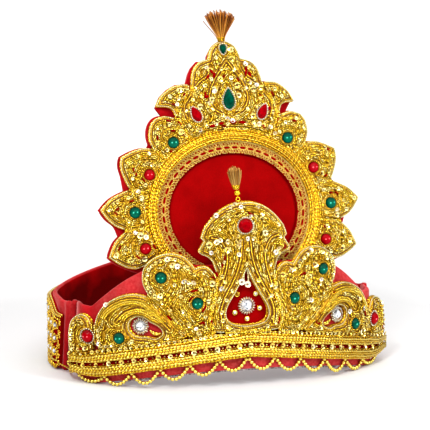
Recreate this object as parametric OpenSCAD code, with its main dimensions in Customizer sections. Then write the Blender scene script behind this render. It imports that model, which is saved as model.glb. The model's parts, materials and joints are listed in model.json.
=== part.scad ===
// Mukut crown: a velvet head ring whose front wall carries gold embroidered plates,
// with a plume in the middle and a petalled halo that stands behind the front wall.
// Millimetres. The crown rests on z = 0, its front faces -Y and x is measured from its middle.

/* [Head ring] */
// Plan radius of the front wall's velvet face
wall_r = 130; // [128:1:132]
// Angle from the middle at which the front wall turns its corner
corner_angle = 45.5; // [44:0.5:46]
// Plan radius of that corner
corner_r = 14; // [12:1:15]
// Half-width of the head ring at its sides
side_half_w = 99.5; // [99:0.5:101]
// How far the soft ring is pushed to the left behind its corners
ring_skew = 5.5; // [0:0.1:6]
// Distance from the front to where the sides begin to draw in
side_y = 95; // [92:1:98]
// Depth of the back behind the sides
back_depth = 84; // [80:1:88]
// Height of the ring at its front corners
ring_h = 47.4; // [45:0.2:49]
// How much higher the ring is at the back
ring_rise = 7; // [0:0.5:7]
// Thickness of the padded velvet walls
wall_t = 3; // [2:0.5:3]
// How far the rolled seam at each front corner stands proud
seam_proud = 1.8; // [1:0.2:2.4]

/* [Front wall] */
// Height of the front wall beside the corners
shoulder_h = 48.5; // [47:0.5:50]
// Rise of the front wall's hill above its shoulders
hill_rise = 29.5; // [28:0.5:32]
// Height of the arch under the middle of the front wall
arch_h = 12; // [10:0.5:13]
// Backward lean of the front, millimetres for each millimetre of height
front_lean = 0.106; // [0.08:0.002:0.13]

/* [Gold work] */
// Height of a plate's rim above the velvet
rim_h = 2.8; // [2.2:0.2:3.2]
// Height of a plate's padding behind the rim
pad_h = 4.2; // [3.8:0.2:4.6]
// Height of a plate's middle
crown_h = 4.8; // [4.6:0.2:5.2]
// Height of the border's lower edge at the middle of the front
border_z = 20.5; // [20:0.5:21]
// Width of the border
border_w = 15.5; // [15:0.5:16]
// Diameter of the beads in the swags
bead_d = 2.1; // [1.8:0.1:2.4]

/* [Halo] */
// Height of the middle of the round velvet field
halo_z = 106.2; // [104:0.2:108]
// Distance of the velvet behind the front, at the height of the middle
halo_y = 34.2; // [33:0.2:36]
// Backward lean of the halo, millimetres for each millimetre of height
halo_lean = 0.259; // [0.22:0.005:0.28]
// Plan radius to which the halo is bent
halo_bend = 400; // [350:10:500]
// Half-width and half-height of the round velvet field
field_a = 42; // [40:0.5:44]
field_b = 36.3; // [35:0.5:38]
// Width of the lace around the velvet field
lace_w = 7.3; // [6.5:0.1:7.6]
// Width of the corded ring around the lace
cord_ring_w = 7; // [6:0.2:7.4]
// Thickness of the halo's velvet-covered backing
backing_t = 4; // [3:0.5:4]
// How far the backing stands out behind the petals
backing_edge = 0.6; // [0.4:0.2:1.4]

/* [Stones] */
// Diameter of the round cabochons
cab_d = 7.3; // [6.8:0.1:7.6]
// Diameter of the two red cabochons on the end lobes
end_cab_d = 8.2; // [7.6:0.1:8.4]
// Diameter of the faceted red stone on the plume
plume_stone_d = 9; // [8:0.2:9.4]
// Length and width of the green drop in the crest
green_drop = [13, 8];
// Length and width of the red drops in the crest
red_drop = [10, 6.4];
// Length and width of the green drop at the crest's tip
tip_drop = [6.2, 4.8];

/* [Hidden] */
gap = 0.2;            // clearance between neighbouring pieces
front_r = wall_r + pad_h - 0.2;
lean_z = 30;          // height at which the lean leaves the front where it is
shift = [0.2, -89, 0];   // brings the middle of the crown's box to x = 0 and y = 0
tip_lean = -0.8;      // how far the handmade crest's tip leans to the left
ring_a = field_a + lace_w + gap;
ring_b = field_b + lace_w + gap;
rim_a = ring_a + cord_ring_w;
rim_b = ring_b + cord_ring_w;
gold_c = [0.85, 0.65, 0.13];
velvet_c = [0.75, 0.03, 0.06];
red_c = [0.78, 0.02, 0.1];
green_c = [0, 0.45, 0.32];
clear_c = [0.9, 0.92, 0.95];
silver_c = [0.8, 0.8, 0.78];

// Outer edges of the right-hand halo petals, from the top down.
// Columns: x, z, 1 where the edge comes to a point.
petal_1 = [[33, 164.6, 1], [37, 165.9, 0], [42, 166.6, 0], [47.2, 165, 1], [50.6, 161, 0],
           [51.9, 154, 0], [50.8, 149, 0], [48.7, 146, 1]];
petal_2 = [[48.2, 145.4, 1], [52, 147, 0], [57, 147, 0], [63, 145.2, 0], [69.8, 142, 1],
           [70.6, 136.5, 0], [69.2, 130, 0], [66, 122.8, 1]];
petal_3 = [[63.5, 122, 1], [68, 121.4, 0], [72.8, 119.4, 0], [78, 116.4, 0], [84.6, 110, 1],
           [80.6, 104.2, 0], [75.5, 99.8, 0], [69.3, 97.2, 1]];
petal_4 = [[70.2, 96.4, 1], [73.2, 94, 0], [76.6, 90.4, 0], [79, 86, 0], [81, 81, 1],
           [76, 77.4, 0], [70, 74.4, 0], [64.5, 73.6, 1]];

// The petals. Columns: name, outer edge, x and z of its stone, stone's colour.
petals = [
    ["petal_top", petal_1, 37, 150.2, green_c],
    ["petal_upper", petal_2, 53.2, 130.9, red_c],
    ["petal_lower", petal_3, 63.5, 108.1, green_c],
    ["petal_bottom", petal_4, 58.5, 86, red_c],
];

// Right half of the crest from its foot on the ring to its tip. Columns: x, z, 1 at a point.
crest_edge = [[32.4, 164.4, 1], [31, 169.5, 0], [27.8, 176, 0], [24.2, 182.5, 0], [23.2, 186.5, 0],
              [22.3, 190.5, 0], [20.6, 195, 0], [16.6, 198.9, 0], [10.4, 200.8, 1], [9.5, 204.6, 0],
              [6.8, 208.8, 0], [2.8, 211.2, 0]];

// Outline of the right-hand crest leaf. Columns: x, z, 1 at a point.
leaf_edge = [[33.4, 165.6, 0], [35.2, 170, 0], [38.6, 172, 0], [45.2, 172.4, 1], [42.2, 178, 0],
             [37.4, 182.4, 0], [32, 185.2, 0], [25, 185.6, 1], [25.2, 182.6, 0], [28.6, 176.6, 0],
             [31.8, 170, 0]];
leaf_middle = [32.8, 178];

// Outlines of the right-hand plates on the front wall. Columns: x, z, 1 at a point.
scroll_edge = [[21.4, 35, 1], [34, 33.2, 1], [40.4, 39, 0], [47.4, 46.4, 0], [54.4, 53.6, 0],
               [60.4, 59.6, 1], [63.2, 65, 0], [63.9, 71.4, 0], [61.8, 78, 0], [56.6, 83, 0],
               [50, 85.7, 0], [44, 85.9, 0], [37.6, 83.2, 0], [32, 76.6, 1], [28.6, 78, 0],
               [24.6, 77.6, 0], [20, 72.6, 0], [19.2, 66, 0], [21.4, 56, 0], [23.6, 45.4, 0]];
scroll_middle = [38.5, 58.5];
paisley_edge = [[36.2, 34.2, 1], [45, 31.6, 0], [60, 28.6, 0], [75, 25.2, 0], [89, 21.6, 1],
                [90.9, 27, 0], [91.2, 34, 0], [90.6, 41, 0], [88, 47.6, 0], [84.4, 52.2, 0],
                [79.4, 56.2, 0], [73.4, 58.9, 0], [67, 59.7, 0], [60.8, 58.4, 1], [54.8, 52.6, 0],
                [48, 45.6, 0], [41.4, 39, 0]];
paisley_eye = [65.8, 39.2];
paisley_eye_r = 6.3;
paisley_eye_reach = 1.15;   // how far the eye's point reaches beyond its round end
paisley_eye_turn = 197;     // direction of the eye's point, anticlockwise from +x
lobe_edge = [[92, 20.7, 1], [99, 18.7, 0], [106, 17.5, 1], [106.3, 25, 0], [106.1, 32, 0],
             [104.6, 38.6, 0], [101.6, 42.4, 0], [98, 43.9, 0], [94.6, 42.2, 0], [92.2, 36, 0]];
lobe_middle = [96.4, 31];

// Sections through the plume. Columns: height, half-width.
plume_rows = [[36.6, 20.8], [45, 23.2], [55, 21], [65, 18.6], [72, 18.6], [77, 20], [81.2, 21.6],
              [84.2, 25], [85.6, 28.6], [87.4, 30], [90, 28.4], [93.8, 26.2], [95.4, 28.2],
              [101.3, 26], [107.3, 21.4], [112.8, 15.2], [116, 8.4], [117.3, 2.6]];
// Right half of the plume's velvet window. Columns: x, z, 1 at a point.
window_edge = [[0, 76.4, 1], [3.6, 68.6, 0], [8.4, 60, 0], [12.4, 53.4, 0], [13.8, 48.4, 0],
               [12.4, 43.6, 0], [7.6, 41.2, 0], [0, 40.4, 0]];

// Stones of the front. Columns: name, x, z, diameter, kind, colour.
front_pairs = [
    ["scroll_stone_upper", 52.5, 71.1, cab_d, "cabochon", green_c],
    ["scroll_stone_lower", 31.4, 55.3, cab_d, "cabochon", green_c],
    ["paisley_stone", 77, 31.8, cab_d, "cabochon", green_c],
    ["end_stone", 93.9, 31, end_cab_d, "cabochon", red_c],
    ["paisley_crystal", 65.8, 39.2, 7.2, "cut", clear_c],
];
front_singles = [
    ["window_crystal", 0.2, 52, 7.8, "cut", clear_c],
    ["plume_stone", -0.3, 102.9, plume_stone_d, "cut", red_c],
];
// Small crystals in the window. Columns: x, z.
window_dots = [[-5.8, 59.4], [6.6, 59.2], [9, 50], [0.4, 43.8], [-7.6, 48]];

sides = [["_left", -1], ["_right", 1]];
pair_names = ["side_trim", "end_lobe", "paisley", "scroll", "crest_leaf"];

function unit(v) = v / norm(v);
function mix(a, b, t) = a + (b - a) * t;
function dir(angle) = [cos(angle), sin(angle)];

// Twice the signed area of an outline, above 0 when it runs anticlockwise
function turn_sum(o) = [for (i = [0:len(o) - 1]) let (a = o[i], b = o[(i + 1) % len(o)])
    a[0] * b[1] - a[1] * b[0]] * [for (i = o) 1];
function anticlockwise(o) = turn_sum(o) > 0 ? o : [for (i = [len(o) - 1:-1:0]) o[i]];

// A point of the cubic curve that leaves a with slope u and reaches b with slope v
function cubic(a, b, u, v, t) = (2 * t ^ 3 - 3 * t ^ 2 + 1) * a + (t ^ 3 - 2 * t ^ 2 + t) * u
    + (3 * t ^ 2 - 2 * t ^ 3) * b + (t ^ 3 - t ^ 2) * v;
function slope(rows, i, last) = let (a = rows[max(i - 1, 0)], b = rows[min(i + 1, last)], r = rows[i])
    (1 - r[2]) / 2 * [b[0] - a[0], b[1] - a[1]];
function xz(row) = [row[0], row[1]];

// Rounds a table of rows into an open curve with m steps for each row
function curve(rows, m) = let (last = len(rows) - 1) concat(
    [for (i = [0:last - 1], k = [0:m - 1]) cubic(xz(rows[i]), xz(rows[i + 1]),
        slope(rows, i, last), slope(rows, i + 1, last), k / m)],
    [xz(rows[last])]);

// The same for a closed outline
function closed_curve(rows, m) = let (n = len(rows),
    c = curve([for (i = [-1:n + 1]) rows[(i + n) % n]], m)) [for (i = [m:m * (n + 1) - 1]) c[i]];

// Draws an outline in by a small distance, towards its middle
function drawn_in(o, middle, d) = [for (p = o) p + d * unit(middle - p)];

// Places on the front wall and on the halo: x, height, and distance out from the velvet
function lean_y(z) = front_lean * (z - lean_z);
function on_arc(angle, z, r) = [r * sin(angle), front_r - r * cos(angle) + lean_y(z), z];
function arc_angle(x) = asin(x / front_r);
function on_front(x, z, w) = on_arc(arc_angle(x), z, wall_r + w);
function on_halo(x, z, w) = let (y = halo_y + halo_lean * (z - halo_z) + x * x / (2 * halo_bend))
    [x, y, z] + w * unit([x / halo_bend, -1, halo_lean]);
function place(face, x, z, w) = face == "halo" ? on_halo(x, z, w) : on_front(x, z, w);
function outward(face, x) = let (a = arc_angle(x))
    unit(face == "halo" ? [x / halo_bend, -1, halo_lean] : [sin(a), -cos(a), front_lean * cos(a)]);

// A point of the oval around the halo's middle, in the direction of a given place
function oval(angle, a, b) = [0, halo_z] + dir(angle) / sqrt((cos(angle) / a) ^ 2 + (sin(angle) / b) ^ 2);
function halo_angle(p) = atan2(p[1] - halo_z, p[0]);
function rim_arc(from, to, steps) = [for (k = [0:steps])
    oval(mix(from, to, k / steps), rim_a + gap, rim_b + gap)];

// Faces between rings of n points each, where ring r + 1 is nearer the viewer
function skin(rings, n, join) = [for (r = [0:rings - (join ? 1 : 2)], i = [0:n - 1])
    let (j = (i + 1) % n, s = (r + 1) % rings)
    each [[r * n + i, s * n + i, s * n + j], [r * n + i, s * n + j, r * n + j]]];
module capped(rings, first, last) {
    n = len(rings[0]);
    m = len(rings);
    polyhedron(concat([for (r = rings) each r], [first, last]),
        concat(skin(m, n, false),
            [for (i = [0:n - 1]) [m * n, i, (i + 1) % n]],
            [for (i = [0:n - 1]) [m * n + 1, (m - 1) * n + (i + 1) % n, (m - 1) * n + i]]));
}
module looped(rings) {
    polyhedron([for (r = rings) each r], skin(len(rings), len(rings[0]), true));
}
function middle_of(ring) = [for (p = ring) 1] * ring / len(ring);
module swept(rings) {
    capped(rings, middle_of(rings[0]), middle_of(rings[len(rings) - 1]));
}

// A padded plate: a flat back, a rim, padding behind the rim and a level middle. Wide plates
// have one more ring on the back, so that it follows the wall. Columns: scale of the outline, height.
plate_steps = [[1, 0], [1, rim_h], [0.82, pad_h], [0.45, crown_h]];
wide_steps = concat([[0.5, 0]], plate_steps);
module plate(face, outline, middle, steps = plate_steps) {
    o = anticlockwise(outline);
    capped([for (s = steps) [for (p = o) let (q = mix(middle, p, s[0])) place(face, q[0], q[1], s[1])]],
        place(face, middle[0], middle[1], 0), place(face, middle[0], middle[1], crown_h));
}

// A teardrop's radius in a direction: round, with a point towards the turn
function drop_r(angle, r, reach, turn) = r * (1 + reach * max(0, cos(angle - turn)) ^ 7);

// Distance out to the velvet's face, and the wall's foot and top at an angle from the middle
wall_out = wall_r - gap;
wall_in = wall_out - wall_t;
function wall_foot(a) = max(0, arch_h - (arch_h - 1) * (sin(a) * front_r / 89) ^ 2);
function wall_top(a) = shoulder_h + hill_rise * sin(90 * min(1, max(0, (44 - abs(a + 0.7)) / 25)));
// The front wall turns its corners by an arc of corner_r and ends at the seams with the ring,
// whose feet are further back than their tops
seam_y = 62;
seam_slant = 13;
function seam_back(z) = seam_slant * (1 - z / ring_h);
function on_corner(a, z, r) = let (d = wall_r - corner_r,
    c = [d * sin(corner_angle), front_r - d * cos(corner_angle)])
    [c[0] + (corner_r + r - wall_r) * sin(a), c[1] - (corner_r + r - wall_r) * cos(a) + lean_y(z), z];
function wall_end(z, r) = [on_corner(90, z, r)[0], seam_y - gap + seam_back(z), z];
// The border's foot, and its width, which narrows round the corners
function border_foot(a) = border_z - 15 * (min(abs(a), 42) / 42) ^ 1.3 + 0.35 * max(0, abs(a) - 47);
function border_width(a) = border_w - 0.56 * max(0, abs(a) - 42);

module front_wall() {
    mid = (wall_in + wall_out) / 2;
    half = concat([for (k = [0:16]) [corner_angle * k / 16, 0]],
        [for (k = [1:4]) [mix(corner_angle, 90, k / 4), 1]], [[90, 2]]);
    rows = concat([for (i = [len(half) - 1:-1:1]) [half[i][0], half[i][1], 1]],
        [for (h = half) [h[0], h[1], -1]]);
    function at(row, z, r) = let (p = row[1] == 0 ? on_arc(row[0], z, r)
        : row[1] == 1 ? on_corner(row[0], z, r) : wall_end(z, r)) [row[2] * p[0], p[1], p[2]];
    color(velvet_c) swept([for (row = rows) let (f = wall_foot(row[0]), t = wall_top(row[2] * row[0]))
        [at(row, f, wall_in), at(row, f, wall_out), at(row, t - 1.6, wall_out),
         at(row, t, mid), at(row, t - 1.6, wall_in)]]);
}

module lining() {
    color([0.5, 0.5, 0.5]) swept([for (a = [36:-9:-36])
        let (f = wall_foot(a) - 1.5, t = wall_top(a) - 8, o = wall_in - gap)
        [on_arc(a, f, o - 1.2), on_arc(a, f, o), on_arc(a, t, o), on_arc(a, t, o - 1.2)]]);
}

// Right half of the head ring's middle line, from the front seam to the back, which is
// drawn in more than an ellipse
seam_x = side_half_w - wall_t / 2 - 0.3;
side_x = side_half_w - wall_t / 2;
ring_power = 1.32;
half_ring = concat(
    [for (k = [0:8]) [mix(seam_x, side_x, k / 9), mix(seam_y, side_y, (k / 9) ^ 1.6)]],
    [for (q = [6:7:90]) [side_x * cos(q) ^ ring_power,
        side_y + (back_depth - wall_t / 2) * sin(q) ^ ring_power]]);
function smooth_step(t) = let (c = min(1, max(0, t))) c * c * (3 - 2 * c);
function skewed(p) = [p[0] - ring_skew * (0.3 + 0.7 * smooth_step((p[1] - seam_y) / 12)), p[1]];
ring_path = [for (p = concat(half_ring,
    [for (i = [len(half_ring) - 2:-1:0]) flip_one(half_ring[i], -1)])) skewed(p)];
function ring_normal(i) = let (n = len(ring_path), a = ring_path[max(i - 1, 0)],
    b = ring_path[min(i + 1, n - 1)], t = unit(b - a)) [t[1], -t[0]];
function from_seam(i) = ring_path[i][1] - seam_y;
function ring_at(i, out, z) = let (q = ring_path[i] + out * ring_normal(i),
    f = max(0, 1 - from_seam(i) / 35)) [q[0], q[1] + f * seam_back(z), z];
function seam(i) = seam_proud * exp(-((from_seam(i) - 2.2) / 2.6) ^ 2);
function ring_top(i) = ring_h + 0.6 * seam(i)
    + ring_rise * max(0, (ring_path[i][1] - side_y) / back_depth) ^ 2;

module headband() {
    t = wall_t / 2;
    color(velvet_c) swept([for (i = [0:len(ring_path) - 1]) let (h = ring_top(i), s = seam(i))
        [ring_at(i, -t, 0), ring_at(i, -t, h - 1.8), ring_at(i, -0.6, h), ring_at(i, 0.6 + s / 2, h),
         ring_at(i, t + s, h - 2), ring_at(i, t + s, 2), ring_at(i, t, 0)]]);
}

// The beaded braid on each side of the ring, whose top edge climbs to the rim
trim_first = 3;
trim_last = 13;
trim_t = 2.4;
trim_foot = 2.4;
trim_top = [38.4, 45.8];
module side_trim(s) {
    function out(i) = wall_t / 2 + gap + seam(i);
    other_side = len(ring_path) - 1 - trim_first - trim_last;
    color(gold_c) swept([for (k = [trim_first:trim_last]) let (i = s > 0 ? k : other_side + k)
        let (h = mix(trim_top[0], trim_top[1], smooth_step((ring_path[i][1] - 68) / 30)))
        [ring_at(i, out(i), trim_foot), ring_at(i, out(i), h), ring_at(i, out(i) + trim_t, h - 0.6),
         ring_at(i, out(i) + trim_t, trim_foot + 0.6)]]);
}

// Section of the border. Columns: share of its width from the foot up, height above the velvet.
border_ends = [-51, 52.8];   // the border reaches a little further round on the right
border_steps = 26;
border_section = [[0, 0], [0, rim_h], [0.13, pad_h], [0.36, pad_h], [0.43, 3], [0.57, 3], [0.63, pad_h],
                  [0.87, pad_h + 0.4], [1, rim_h], [1, 0]];
module front_border() {
    color(gold_c) swept([for (k = [0:border_steps])
        let (a = mix(border_ends[1], border_ends[0], k / border_steps))
        [for (p = border_section) on_arc(a, border_foot(a) + p[0] * border_width(a), wall_r + p[1])]]);
}

// Round string of a given diameter along a list of points, its sides set by the first direction
function tube_rings(path, d, sides, across) = [for (i = [0:len(path) - 1])
    let (t = unit(path[min(i + 1, len(path) - 1)] - path[max(i - 1, 0)]),
        u = unit(cross(t, across)), v = cross(t, u))
    [for (k = [0:sides - 1]) path[i] + d / 2 * (u * cos(k * 360 / sides) + v * sin(k * 360 / sides))]];

swag_pitch = 8.2;      // degrees from one swag to the next
swag_count = 12;
swag_steps = 5;
module bead_swags() {
    color(gold_c) for (k = [0:swag_count - 1]) {
        middle = (k - (swag_count - 1) / 2) * swag_pitch;
        swept(tube_rings([for (j = [0:swag_steps])
            let (u = 2 * j / swag_steps - 1, a = middle + u * swag_pitch * 0.44,
                hang = mix(border_foot(a), border_foot(middle), 0.6) - bead_d / 2 - 3 * gap)
            on_arc(a, max(bead_d / 2 + 0.4, hang - 6.2 * (1 - u * u)), wall_out + gap + bead_d / 2)],
            bead_d, 8, [0, -1, 0]));
    }
}

end_shift = 1.2;   // the end lobes' outer edges, like the border's ends, lie to the right
module end_lobe(s) {
    outline = [for (p = flip_xz(closed_curve(lobe_edge, 2), s))
        [p[0] + end_shift * (abs(p[0]) - 92) / 14, p[1]]];
    m = flip_one(lobe_middle, s);
    color(gold_c) plate("front", drawn_in(outline, m, gap), m);
}
function flip_one(p, s) = [s * p[0], p[1]];
function flip_xz(o, s) = [for (p = o) flip_one(p, s)];

module scroll(s) {
    m = flip_one(scroll_middle, s);
    color(gold_c) plate("front", drawn_in(flip_xz(closed_curve(scroll_edge, 2), s), m, gap), m, wide_steps);
}

// The paisley is a padded plate with a teardrop eye cut through to the velvet
module paisley(s) {
    m = flip_one(paisley_eye, s);
    o = anticlockwise(drawn_in(flip_xz(closed_curve(paisley_edge, 2), s), m, 0.2));
    turn = s > 0 ? paisley_eye_turn : 180 - paisley_eye_turn;
    eye = [for (p = o) let (a = atan2(p[1] - m[1], p[0] - m[0]))
        m + dir(a) * drop_r(a, paisley_eye_r, paisley_eye_reach, turn)];
    steps = [[1, 0], [1, rim_h], [0.75, crown_h], [0.25, crown_h], [0, rim_h], [0, 0], [0.5, 0]];
    color(gold_c) looped([for (t = steps) [for (i = [0:len(o) - 1])
        let (q = mix(eye[i], o[i], t[0])) place("front", q[0], q[1], t[1])]]);
}

// The plume: sections across, with its velvet window cut through
module plume() {
    section = [[-1, 0], [-1, rim_h], [-0.8, pad_h], [0, crown_h], [0.8, pad_h], [1, rim_h], [1, 0],
               [0.5, 0], [0, 0], [-0.5, 0]];
    half = curve(window_edge, 2);
    window = concat(half, [for (i = [len(half) - 2:-1:1]) flip_one(half[i], -1)]);
    color(gold_c) difference() {
        swept([for (r = plume_rows) [for (p = section) on_front(p[0] * r[1], r[0], p[1])]]);
        translate([0, 10, 0]) rotate([90, 0, 0]) linear_extrude(30) polygon(window);
    }
}

module petal(p, s) {
    rows = p[1];
    edge = curve(rows, 2);
    outline = concat(edge, rim_arc(halo_angle(rows[len(rows) - 1]), halo_angle(rows[0]), 4));
    m = flip_one([p[2], p[3]], s);
    color(gold_c) plate("halo", drawn_in(flip_xz(outline, s), m, 0.25), m);
}

// The left leaf's tip reaches a little further out than the right one's
leaf_shift = 1.3;
module crest_leaf(s) {
    m = flip_one(leaf_middle, s);
    outline = [for (p = flip_xz(closed_curve(leaf_edge, 2), s))
        [p[0] - leaf_shift * max(0, abs(p[0]) - 28) / 17, p[1]]];
    color(gold_c) plate("halo", drawn_in(outline, m, gap), m);
}

// The crest's tip leans a little to the left
function leaned(o) = [for (p = o) [p[0] + tip_lean * min(1, max(0, (p[1] - 186) / 18)), p[1]]];
module crest_core() {
    edge = curve(crest_edge, 2);
    m = [0, 178];
    foot = halo_angle(crest_edge[0]);
    outline = concat(leaned(concat(edge, [for (i = [len(edge) - 1:-1:0]) flip_one(edge[i], -1)])),
        rim_arc(180 - foot, foot, 6));
    color(gold_c) plate("halo", drawn_in(outline, m, gap), m, wide_steps);
}

// Half of the backing's edge, from the tip down: the outer edges of the crest, leaves and petals,
// pushed outwards, and a tail that runs down behind the front wall to where the two meet
backing_shift = -0.9;   // the backing sits a little to the left behind the gold
// Edge of the backing between leaf and top petal, on the left and on the right
notches = [[[45.6, 172], [41, 169.4]], [[44.4, 174], [38.8, 172.8], [36, 170.6]]];
tail_edge = [[62, 71], [57.2, 60], [54, 49.5], [30, 47.6]];
function pushed(p) = p + (p[1] > 200 ? -1.6 : p[1] > 192 ? 0.8 : p[1] > 186 ? 2 : backing_edge)
    * unit(p - [0, halo_z]);
function backing_half(notch) = concat(
    [for (i = [len(crest_edge) - 1:-1:5]) pushed(xz(crest_edge[i]))],
    [for (i = [7:-1:4]) pushed(xz(leaf_edge[i]))], notch,
    [for (p = petals, i = [1:len(petal_1) - 2]) pushed(xz(p[1][i]))], tail_edge);
module halo_back() {
    left = backing_half(notches[0]);
    both = concat(backing_half(notches[1]), [for (i = [len(left) - 1:-1:0]) flip_one(left[i], -1)]);
    outline = anticlockwise([for (p = leaned(both)) [p[0] + backing_shift, p[1]]]);
    m = [0, halo_z];
    function ring(scale, w) = [for (p = outline) let (q = mix(m, p, scale)) on_halo(q[0], q[1], w)];
    back = -gap - backing_t;
    rings = concat([for (f = [0.5, 1]) ring(f, back)], [for (f = [1, 0.66, 0.33]) ring(f, -gap)]);
    color(velvet_c) capped(rings,
        on_halo(m[0], m[1], back), on_halo(m[0], m[1], -gap));
}

// The corded ring and the pierced lace around the velvet field
ring_section = [[0, 0], [0, 2.6], [1.6, pad_h], [cord_ring_w - 1.6, pad_h], [cord_ring_w, 2.6],
                [cord_ring_w, 0]];
ring_columns = 48;
module halo_ring() {
    color(gold_c) looped([for (k = [0:ring_columns - 1]) let (a = k * 360 / ring_columns)
        [for (p = ring_section) let (q = oval(a, ring_a + p[0], ring_b + p[0])) on_halo(q[0], q[1], p[1])]]);
}

lace_holes = 48;
lace_t = 1.6;
lace_lines = [0, 2.6, 4.7, lace_w];   // the inner band, the row of holes and the outer band
module halo_lace() {
    n = lace_holes * 2;
    function at(k, j, w) = let (d = lace_lines[j], q = oval((k + 0.5) * 360 / n, field_a + d, field_b + d))
        on_halo(q[0], q[1], w);
    points = [for (k = [0:n - 1]) each [for (w = [0, lace_t], j = [0:3]) at(k, j, w)]];
    function at_index(k, j, up) = (k % n) * 8 + up * 4 + j;
    function quad(a, b, c, d) = [[a, b, c], [a, c, d]];
    faces = [for (k = [0:n - 1]) let (l = k + 1, open = k % 2 == 0) each concat(
        [for (j = [0:2]) if (!(open && j == 1)) each concat(
            quad(at_index(k, j, 1), at_index(l, j, 1), at_index(l, j + 1, 1), at_index(k, j + 1, 1)),
            quad(at_index(k, j, 0), at_index(k, j + 1, 0), at_index(l, j + 1, 0), at_index(l, j, 0)))],
        quad(at_index(k, 0, 0), at_index(l, 0, 0), at_index(l, 0, 1), at_index(k, 0, 1)),
        quad(at_index(k, 3, 1), at_index(l, 3, 1), at_index(l, 3, 0), at_index(k, 3, 0)),
        open ? concat(
            quad(at_index(k, 1, 1), at_index(l, 1, 1), at_index(l, 1, 0), at_index(k, 1, 0)),
            quad(at_index(k, 2, 0), at_index(l, 2, 0), at_index(l, 2, 1), at_index(k, 2, 1)),
            quad(at_index(k, 1, 0), at_index(k, 2, 0), at_index(k, 2, 1), at_index(k, 1, 1)),
            quad(at_index(l, 1, 1), at_index(l, 2, 1), at_index(l, 2, 0), at_index(l, 1, 0))) : [])];
    color(gold_c) polyhedron(points, faces);
}

// Turns a shape that points along +Z so that it points out of the front or the halo
module seated(face, x, z, w) {
    n = outward(face, x);
    translate(place(face, x, z, w)) rotate([0, acos(n[2]), atan2(n[1], n[0])]) children();
}

seat_h = crown_h + 0.15;    // height at which the stones and settings sit on the plates
module cabochon(d) {
    r = d / 2;
    rise = 0.36 * d;
    ball = (r * r + rise * rise) / (2 * rise);
    intersection() {
        cylinder(r = r, h = 0.7 + rise, $fn = 48);
        translate([0, 0, 0.7 + rise - ball]) sphere(r = ball, $fn = 48);
    }
}

// A cut stone on an outline: girdle, eight or more facets and a table
module cut_stone(outline, h) {
    steps = [[0.86, 0], [1, h * 0.3], [1, h * 0.42], [0.62, h]];
    capped([for (s = steps) [for (p = outline) [p[0] * s[0], p[1] * s[0], s[1]]]], [0, 0, 0], [0, 0, h]);
}
function round_outline(d) = [for (k = [0:11]) d / 2 * dir(k * 30)];
// A pear of given length and width, its point along -x, which is upwards once it is seated
function pear_outline(size) = [for (k = [0:15]) let (a = k * 22.5, c = (1 - cos(a)) / 2)
    [size[0] / 2 * cos(a), size[1] / 2 * sin(a) * (1 - 0.62 * c ^ 2.2)]];

module stone(kind, d, c) {
    color(c) if (kind == "cabochon") cabochon(d); else cut_stone(round_outline(d), d * 0.36);
}

// A collet around a round stone
module collet(d) {
    difference() {
        cylinder(r = d / 2 + 1.25, h = 1.3, $fn = 48);
        translate([0, 0, -1]) cylinder(r = d / 2 + 0.12, h = 4, $fn = 48);
    }
}

module halo_settings() {
    color(silver_c) for (p = petals, s = [-1, 1]) seated("halo", s * p[2], p[3], seat_h) collet(cab_d);
}

function seat_of(p) = p[5] == clear_c ? gap : seat_h;
module front_settings() {
    color(silver_c) {
        for (p = front_pairs, s = [-1, 1]) seated("front", s * p[1], p[2], seat_of(p)) collet(p[3]);
        for (p = front_singles) seated("front", p[1], p[2], seat_of(p)) collet(p[3]);
    }
}

module window_dots() {
    color(clear_c) for (p = window_dots)
        seated("front", p[0], p[1], gap) cylinder(d = 3.2, h = 1.2, $fn = 24);
}

// A tassel: threads in locks that fan out from a tied neck. Columns of its rows: distance up,
// half-width, half-depth, depth of the furrows between the locks, drop of the furrows' ends.
module tassel(foot, lean, rows, locks) {
    sides = 3 * locks;
    swept([for (r = rows) [for (k = [0:sides - 1])
        let (a = k * 360 / sides, deep = 1 - (k % 3 == 0 ? r[3] : 0))
        foot + [r[1] * cos(a) * deep + lean * r[0], r[2] * sin(a) * deep, r[0] - (k % 3 == 0 ? r[4] : 0)]]]);
}
crest_tassel_rows = [[0, 1.7, 1.5, 0, 0], [2.4, 2.3, 2.1, 0, 0], [5, 2.1, 1.8, 0.1, 0],
                     [11, 5.8, 3.6, 0.22, 0], [19.4, 10.2, 5.2, 0.3, 2]];
module crest_tassel() {
    color([0.6, 0.33, 0.12]) tassel(on_halo(tip_lean - 0.8, 211.4, 2.2), -0.09, crest_tassel_rows, 8);
}
plume_tassel_rows = [[0, 1.4, 1.4, 0, 0], [1, 1.9, 1.8, 0, 0], [7, 3.6, 2.6, 0.16, 0],
                     [14.6, 5.6, 3.4, 0.24, 1]];
module plume_tassel() {
    color([0.7, 0.5, 0.25]) tassel(on_front(-4.9, 125.2, 2.2), -0.1, plume_tassel_rows, 6);
}
module plume_bead() {
    ball_d = 4;
    loop_r = 1.2;
    loop_wire = 0.9;
    ball_z = 122.9;
    color(gold_c) {
        translate(on_front(-4.3, ball_z, 2.2)) sphere(d = ball_d, $fn = 32);
        translate(on_front(-3.9, ball_z - ball_d / 2 - gap - loop_r - loop_wire / 2, 2.2))
            rotate([90, 0, 0]) rotate_extrude($fn = 32) translate([loop_r, 0])
            circle(d = loop_wire, $fn = 16);
    }
}

module crest_drop(at, size, turn, c) {
    color(c) seated("halo", at[0], at[1], seat_h) rotate([0, 0, turn]) cut_stone(pear_outline(size), 2.6);
}

module placed() {
    translate(shift) children();
}

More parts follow.
